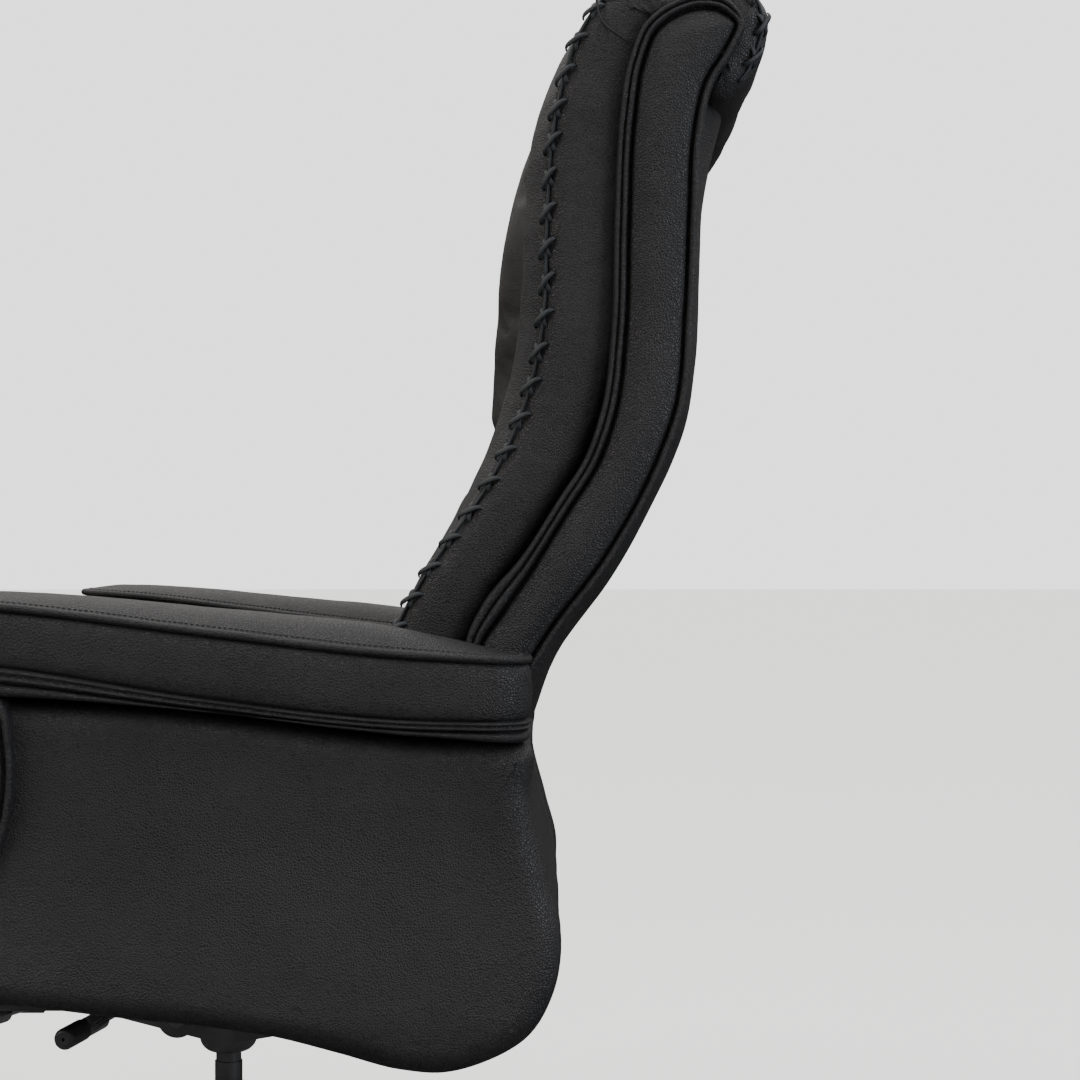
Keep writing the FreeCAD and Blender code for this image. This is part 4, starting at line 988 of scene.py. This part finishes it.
def arm_inside(sign, side):
    """The leather over the arm's inner board."""
    outline = (
        (-0.205, 0.42), (-0.205, 0.52), (-0.205, 0.642), (-0.12, 0.640), (-0.024, 0.636), (0.095, 0.622),
        (0.20, 0.609), (0.288, 0.603), (0.294, 0.55), (0.294, 0.48), (0.292, 0.385), (0.20, 0.352),
        (0.0, 0.369), (-0.148, 0.392),
    )  # fmt: skip
    spine = ((-0.10, 0.50), (0.0, 0.495), (0.12, 0.49), (0.19, 0.485))
    profile = [(0.006, 0.2795), (0.0, 0.2780), (0.0, 0.2660), (0.0010, 0.2635), (0.0035, 0.2624)]
    profile += [(("share", 0.0035, share), 0.2620) for share in (0.1, 0.3, 0.6, 0.9)]
    piece = padded(f"arm_inside_{side}", outline, spine, profile, on_side(sign), count=300)
    dress(piece, LEATHER, stands_for=(f"arm_board_{side}",))


def seat_cushion():
    """The seat: a crowned top with a piped edge, that turns down in front."""
    half, front, rear = 0.2575, -0.298, 0.116
    low, top = 0.4015, 0.520
    corners = (
        (half, front, 0.05, -90), (half, rear, 0.02, 0), (-half, rear, 0.02, 90), (-half, front, 0.05, 180),
    )  # fmt: skip
    line = evenly(corner_points(corners), 90, closed=True)
    spine = ((0.0, -0.10), (0.0, -0.07), (0.0, -0.03))

    def under(flat):
        return np.where(flat[:, 1] < -0.2725, 0.364, low)

    def flat_low(flat):
        return np.full(len(flat), low)

    profile = [(("share", 0.03, 0.7), flat_low), (0.030, flat_low)]
    profile += [(0.0255, under), (0.010, under), (0.002, under)]
    for share in (0.05, 0.25, 0.5, 0.75, 0.95):
        bulge = -0.0008 * math.sin(math.pi * share)
        profile.append((bulge, lambda f, s=share: under(f) * (1 - s) + (top - 0.028) * s + 0.001))
    profile += [(0.0018, top - 0.0230), (0.0032, top - 0.0180)]
    profile += [(0.0055, top - 0.0140), (0.0090, top - 0.0100), (0.014, top - 0.0060), (0.022, top - 0.0020)]
    for share in (0.04, 0.1, 0.2, 0.35, 0.5, 0.7, 0.9, 1.0):
        profile.append((("share", 0.022, share), top + 0.012 * math.sin(share * math.pi / 2)))
    piece = padded("seat_cushion_soft", line, spine, profile, lying, count=480)
    inflate(piece, 0.010, floor=low)
    soften(piece, 0.0030, 0.10, 8.2)
    dress(piece, LEATHER_SMOOTH, stands_for=("seat_cushion",))
    edge = curve(line, 300, closed=True)
    path = laid_on(piece, np.column_stack([edge, np.full(len(edge), top - 0.020)]), 0.0012)
    dress(tube("seat_piping", path, 0.0036, sides=10, closed=True), TRIM_PAINTED_HIGHLIGHT)


def rear_skirt():
    """The full lower back of the chair, between the arms' rear ends."""
    outline = (
        (0.246, 0.600), (0.27, 0.6005), (0.300, 0.600), (0.306, 0.594), (0.308, 0.558), (0.3225, 0.490),
        (0.3345, 0.435), (0.327, 0.388), (0.308, 0.356), (0.275, 0.335), (0.252, 0.327), (0.247, 0.333),
        (0.246, 0.40), (0.246, 0.50),
    )  # fmt: skip
    spine = ((0.276, 0.565), (0.285, 0.48), (0.292, 0.43), (0.285, 0.39))
    half = 0.2605
    rows = [(("share", 0.012, 0.9), -half), (0.012, -half), (0.004, -half + 0.0012), (0.0008, -half + 0.005)]
    rows += [
        (0.0004 - 0.0006 * math.sin(math.pi * s), -half + 0.012 + (2 * half - 0.024) * s)
        for s in np.linspace(0, 1, 40)
    ]
    rows += [(0.0008, half - 0.005), (0.004, half - 0.0012), (0.012, half), (("share", 0.012, 0.9), half)]
    piece = padded(
        "rear_skirt_soft", outline, spine, rows,
        lambda flat, level: np.column_stack([level, flat[:, 0], flat[:, 1]]), count=240,
    )  # fmt: skip
    soften(piece, 0.0014, 0.12, 7.7)
    dress(piece, LEATHER, stands_for=("rear_skirt",))


# ---------------------------------------------------------------- carried-over nodes


def paint_frame():
    """Every CAD node that stays visible gets a material by what it is made of."""
    black_plastic = moulded_plastic("black_nylon", (0.016, 0.016, 0.017), 0.42)
    wheel = moulded_plastic("wheel_nylon", (0.022, 0.022, 0.023), 0.5, texture=500.0)
    grip = moulded_plastic("grip_plastic", (0.012, 0.012, 0.013), 0.35)
    chrome = metal("chrome", (0.78, 0.79, 0.80), 0.10)
    steel = metal("bright_steel", (0.55, 0.55, 0.56), 0.28, brushed=0.6)
    coated = coated_steel("coated_steel", (0.018, 0.018, 0.019))
    wood, cover = plywood("plywood"), dust_cover("dust_cover")
    by_slot = {
        "black_plastic": black_plastic, "wheel_plastic": wheel, "chrome": chrome, "bright_steel": steel,
        "black_steel": coated, "plywood": wood, "leather": LEATHER,
    }  # fmt: skip
    slots = {part["node"]: part["material_slot"] for part in frame["record"]["subparts"]}
    special = {"seat_frame": cover, "height_lever_grip": grip, "lock_lever_grip": grip, "tension_knob": grip}
    for node, piece in frame["nodes"].items():
        material = special.get(node, by_slot[slots[node]])
        piece.data.materials.clear()
        piece.data.materials.append(material)


# ---------------------------------------------------------------- stage


def stage():
    size = 60
    corners = [(-size, -size, 0), (size, -size, 0), (size, size, 0), (-size, size, 0)]
    floor = add_mesh("floor", corners, [(0, 1, 2, 3)], smooth=False)
    pale = Shader("pale_floor", (0.86, 0.86, 0.86), 0.7, Specular_IOR_Level=0.1)
    pale.link(pale.spread(pale.noise(2.0), 0.66, 0.78), pale.surface.inputs["Roughness"])
    floor.data.materials.append(pale.material)
    floor.visible_glossy = False
    floor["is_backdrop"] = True


def area_light(name, place, target, size, power, color):
    data = bpy.data.lights.new(name, "AREA")
    data.shape = "RECTANGLE"
    data.size, data.size_y = size
    data.energy = power
    data.color = color
    light = bpy.data.objects.new(name, data)
    light.location = place
    light.rotation_euler = (Vector(target) - Vector(place)).to_track_quat("-Z", "Y").to_euler()
    bpy.context.scene.collection.objects.link(light)


def studio():
    """A white sweep of background, a soft light from above and two large soft lights at the sides."""
    world = bpy.data.worlds.new("studio")
    world.use_nodes = True
    tree = world.node_tree
    place = tree.nodes.new("ShaderNodeTexCoord")
    height = tree.nodes.new("ShaderNodeSeparateXYZ")
    tree.links.new(place.outputs["Generated"], height.inputs["Vector"])
    dome = tree.nodes.new("ShaderNodeMapRange")
    dome.interpolation_type = "SMOOTHSTEP"
    for socket, value in (("From Min", 0.05), ("From Max", 1.0), ("To Min", HORIZON), ("To Max", ZENITH)):
        dome.inputs[socket].default_value = value
    tree.links.new(height.outputs["Z"], dome.inputs["Value"])
    soft, white = tree.nodes["Background"], tree.nodes.new("ShaderNodeBackground")
    soft.inputs["Color"].default_value = (1.0, 0.98, 0.96, 1)
    tree.links.new(dome.outputs["Result"], soft.inputs["Strength"])
    white.inputs["Color"].default_value = (1.0, 1.0, 1.0, 1)
    white.inputs["Strength"].default_value = BACKGROUND
    rays, mix = tree.nodes.new("ShaderNodeLightPath"), tree.nodes.new("ShaderNodeMixShader")
    tree.links.new(rays.outputs["Is Camera Ray"], mix.inputs["Fac"])
    tree.links.new(soft.outputs["Background"], mix.inputs[1])
    tree.links.new(white.outputs["Background"], mix.inputs[2])
    tree.links.new(mix.outputs["Shader"], tree.nodes["World Output"].inputs["Surface"])
    bpy.context.scene.world = world
    area_light("window", (1.5, 2.9, 1.5), (0, 0.3, 0.8), (1.2, 2.0), 75, (0.84, 0.91, 1.0))
    area_light("room", (1.6, -2.6, 1.9), (0, 0.1, 0.75), (1.6, 2.0), 60, (1.0, 0.94, 0.88))


def camera():
    """At the height of the arms, square to the chair's left side, cropped as tightly as the picture."""
    data = bpy.data.cameras.new("camera")
    data.sensor_width = 36.0
    data.lens = 72.0
    data.shift_y = EYE_SHIFT
    eye = bpy.data.objects.new("camera", data)
    eye.location = EYE
    eye.rotation_euler = (math.radians(90), 0, math.radians(90))
    bpy.context.scene.collection.objects.link(eye)
    bpy.context.scene.camera = eye


camera()
studio()
stage()
paint_frame()
for sign, side in ((1, "left"), (-1, "right")):
    wing(sign, side)
    bolster(sign, side)
    lacing(sign, side)
    roll_seam(sign, side)
    arm_pad(sign, side)
    side_panel(sign, side)
    arm_front(sign, side)
    arm_inside(sign, side)
head_roll()
centre_pillow("lower_pillow", "lower_back_pillow", 0.4705, 0.857, 9.1)
centre_pillow("upper_pillow", "upper_back_pillow", 0.859, 1.268, 9.9)
outer_back()
seat_cushion()
rear_skirt()

bpy.context.view_layer.update()
boxes = {"cad": cad_bounds, "visual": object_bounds()}
{name: [list(map(float, p)) for p in box] for name, box in boxes.items()}
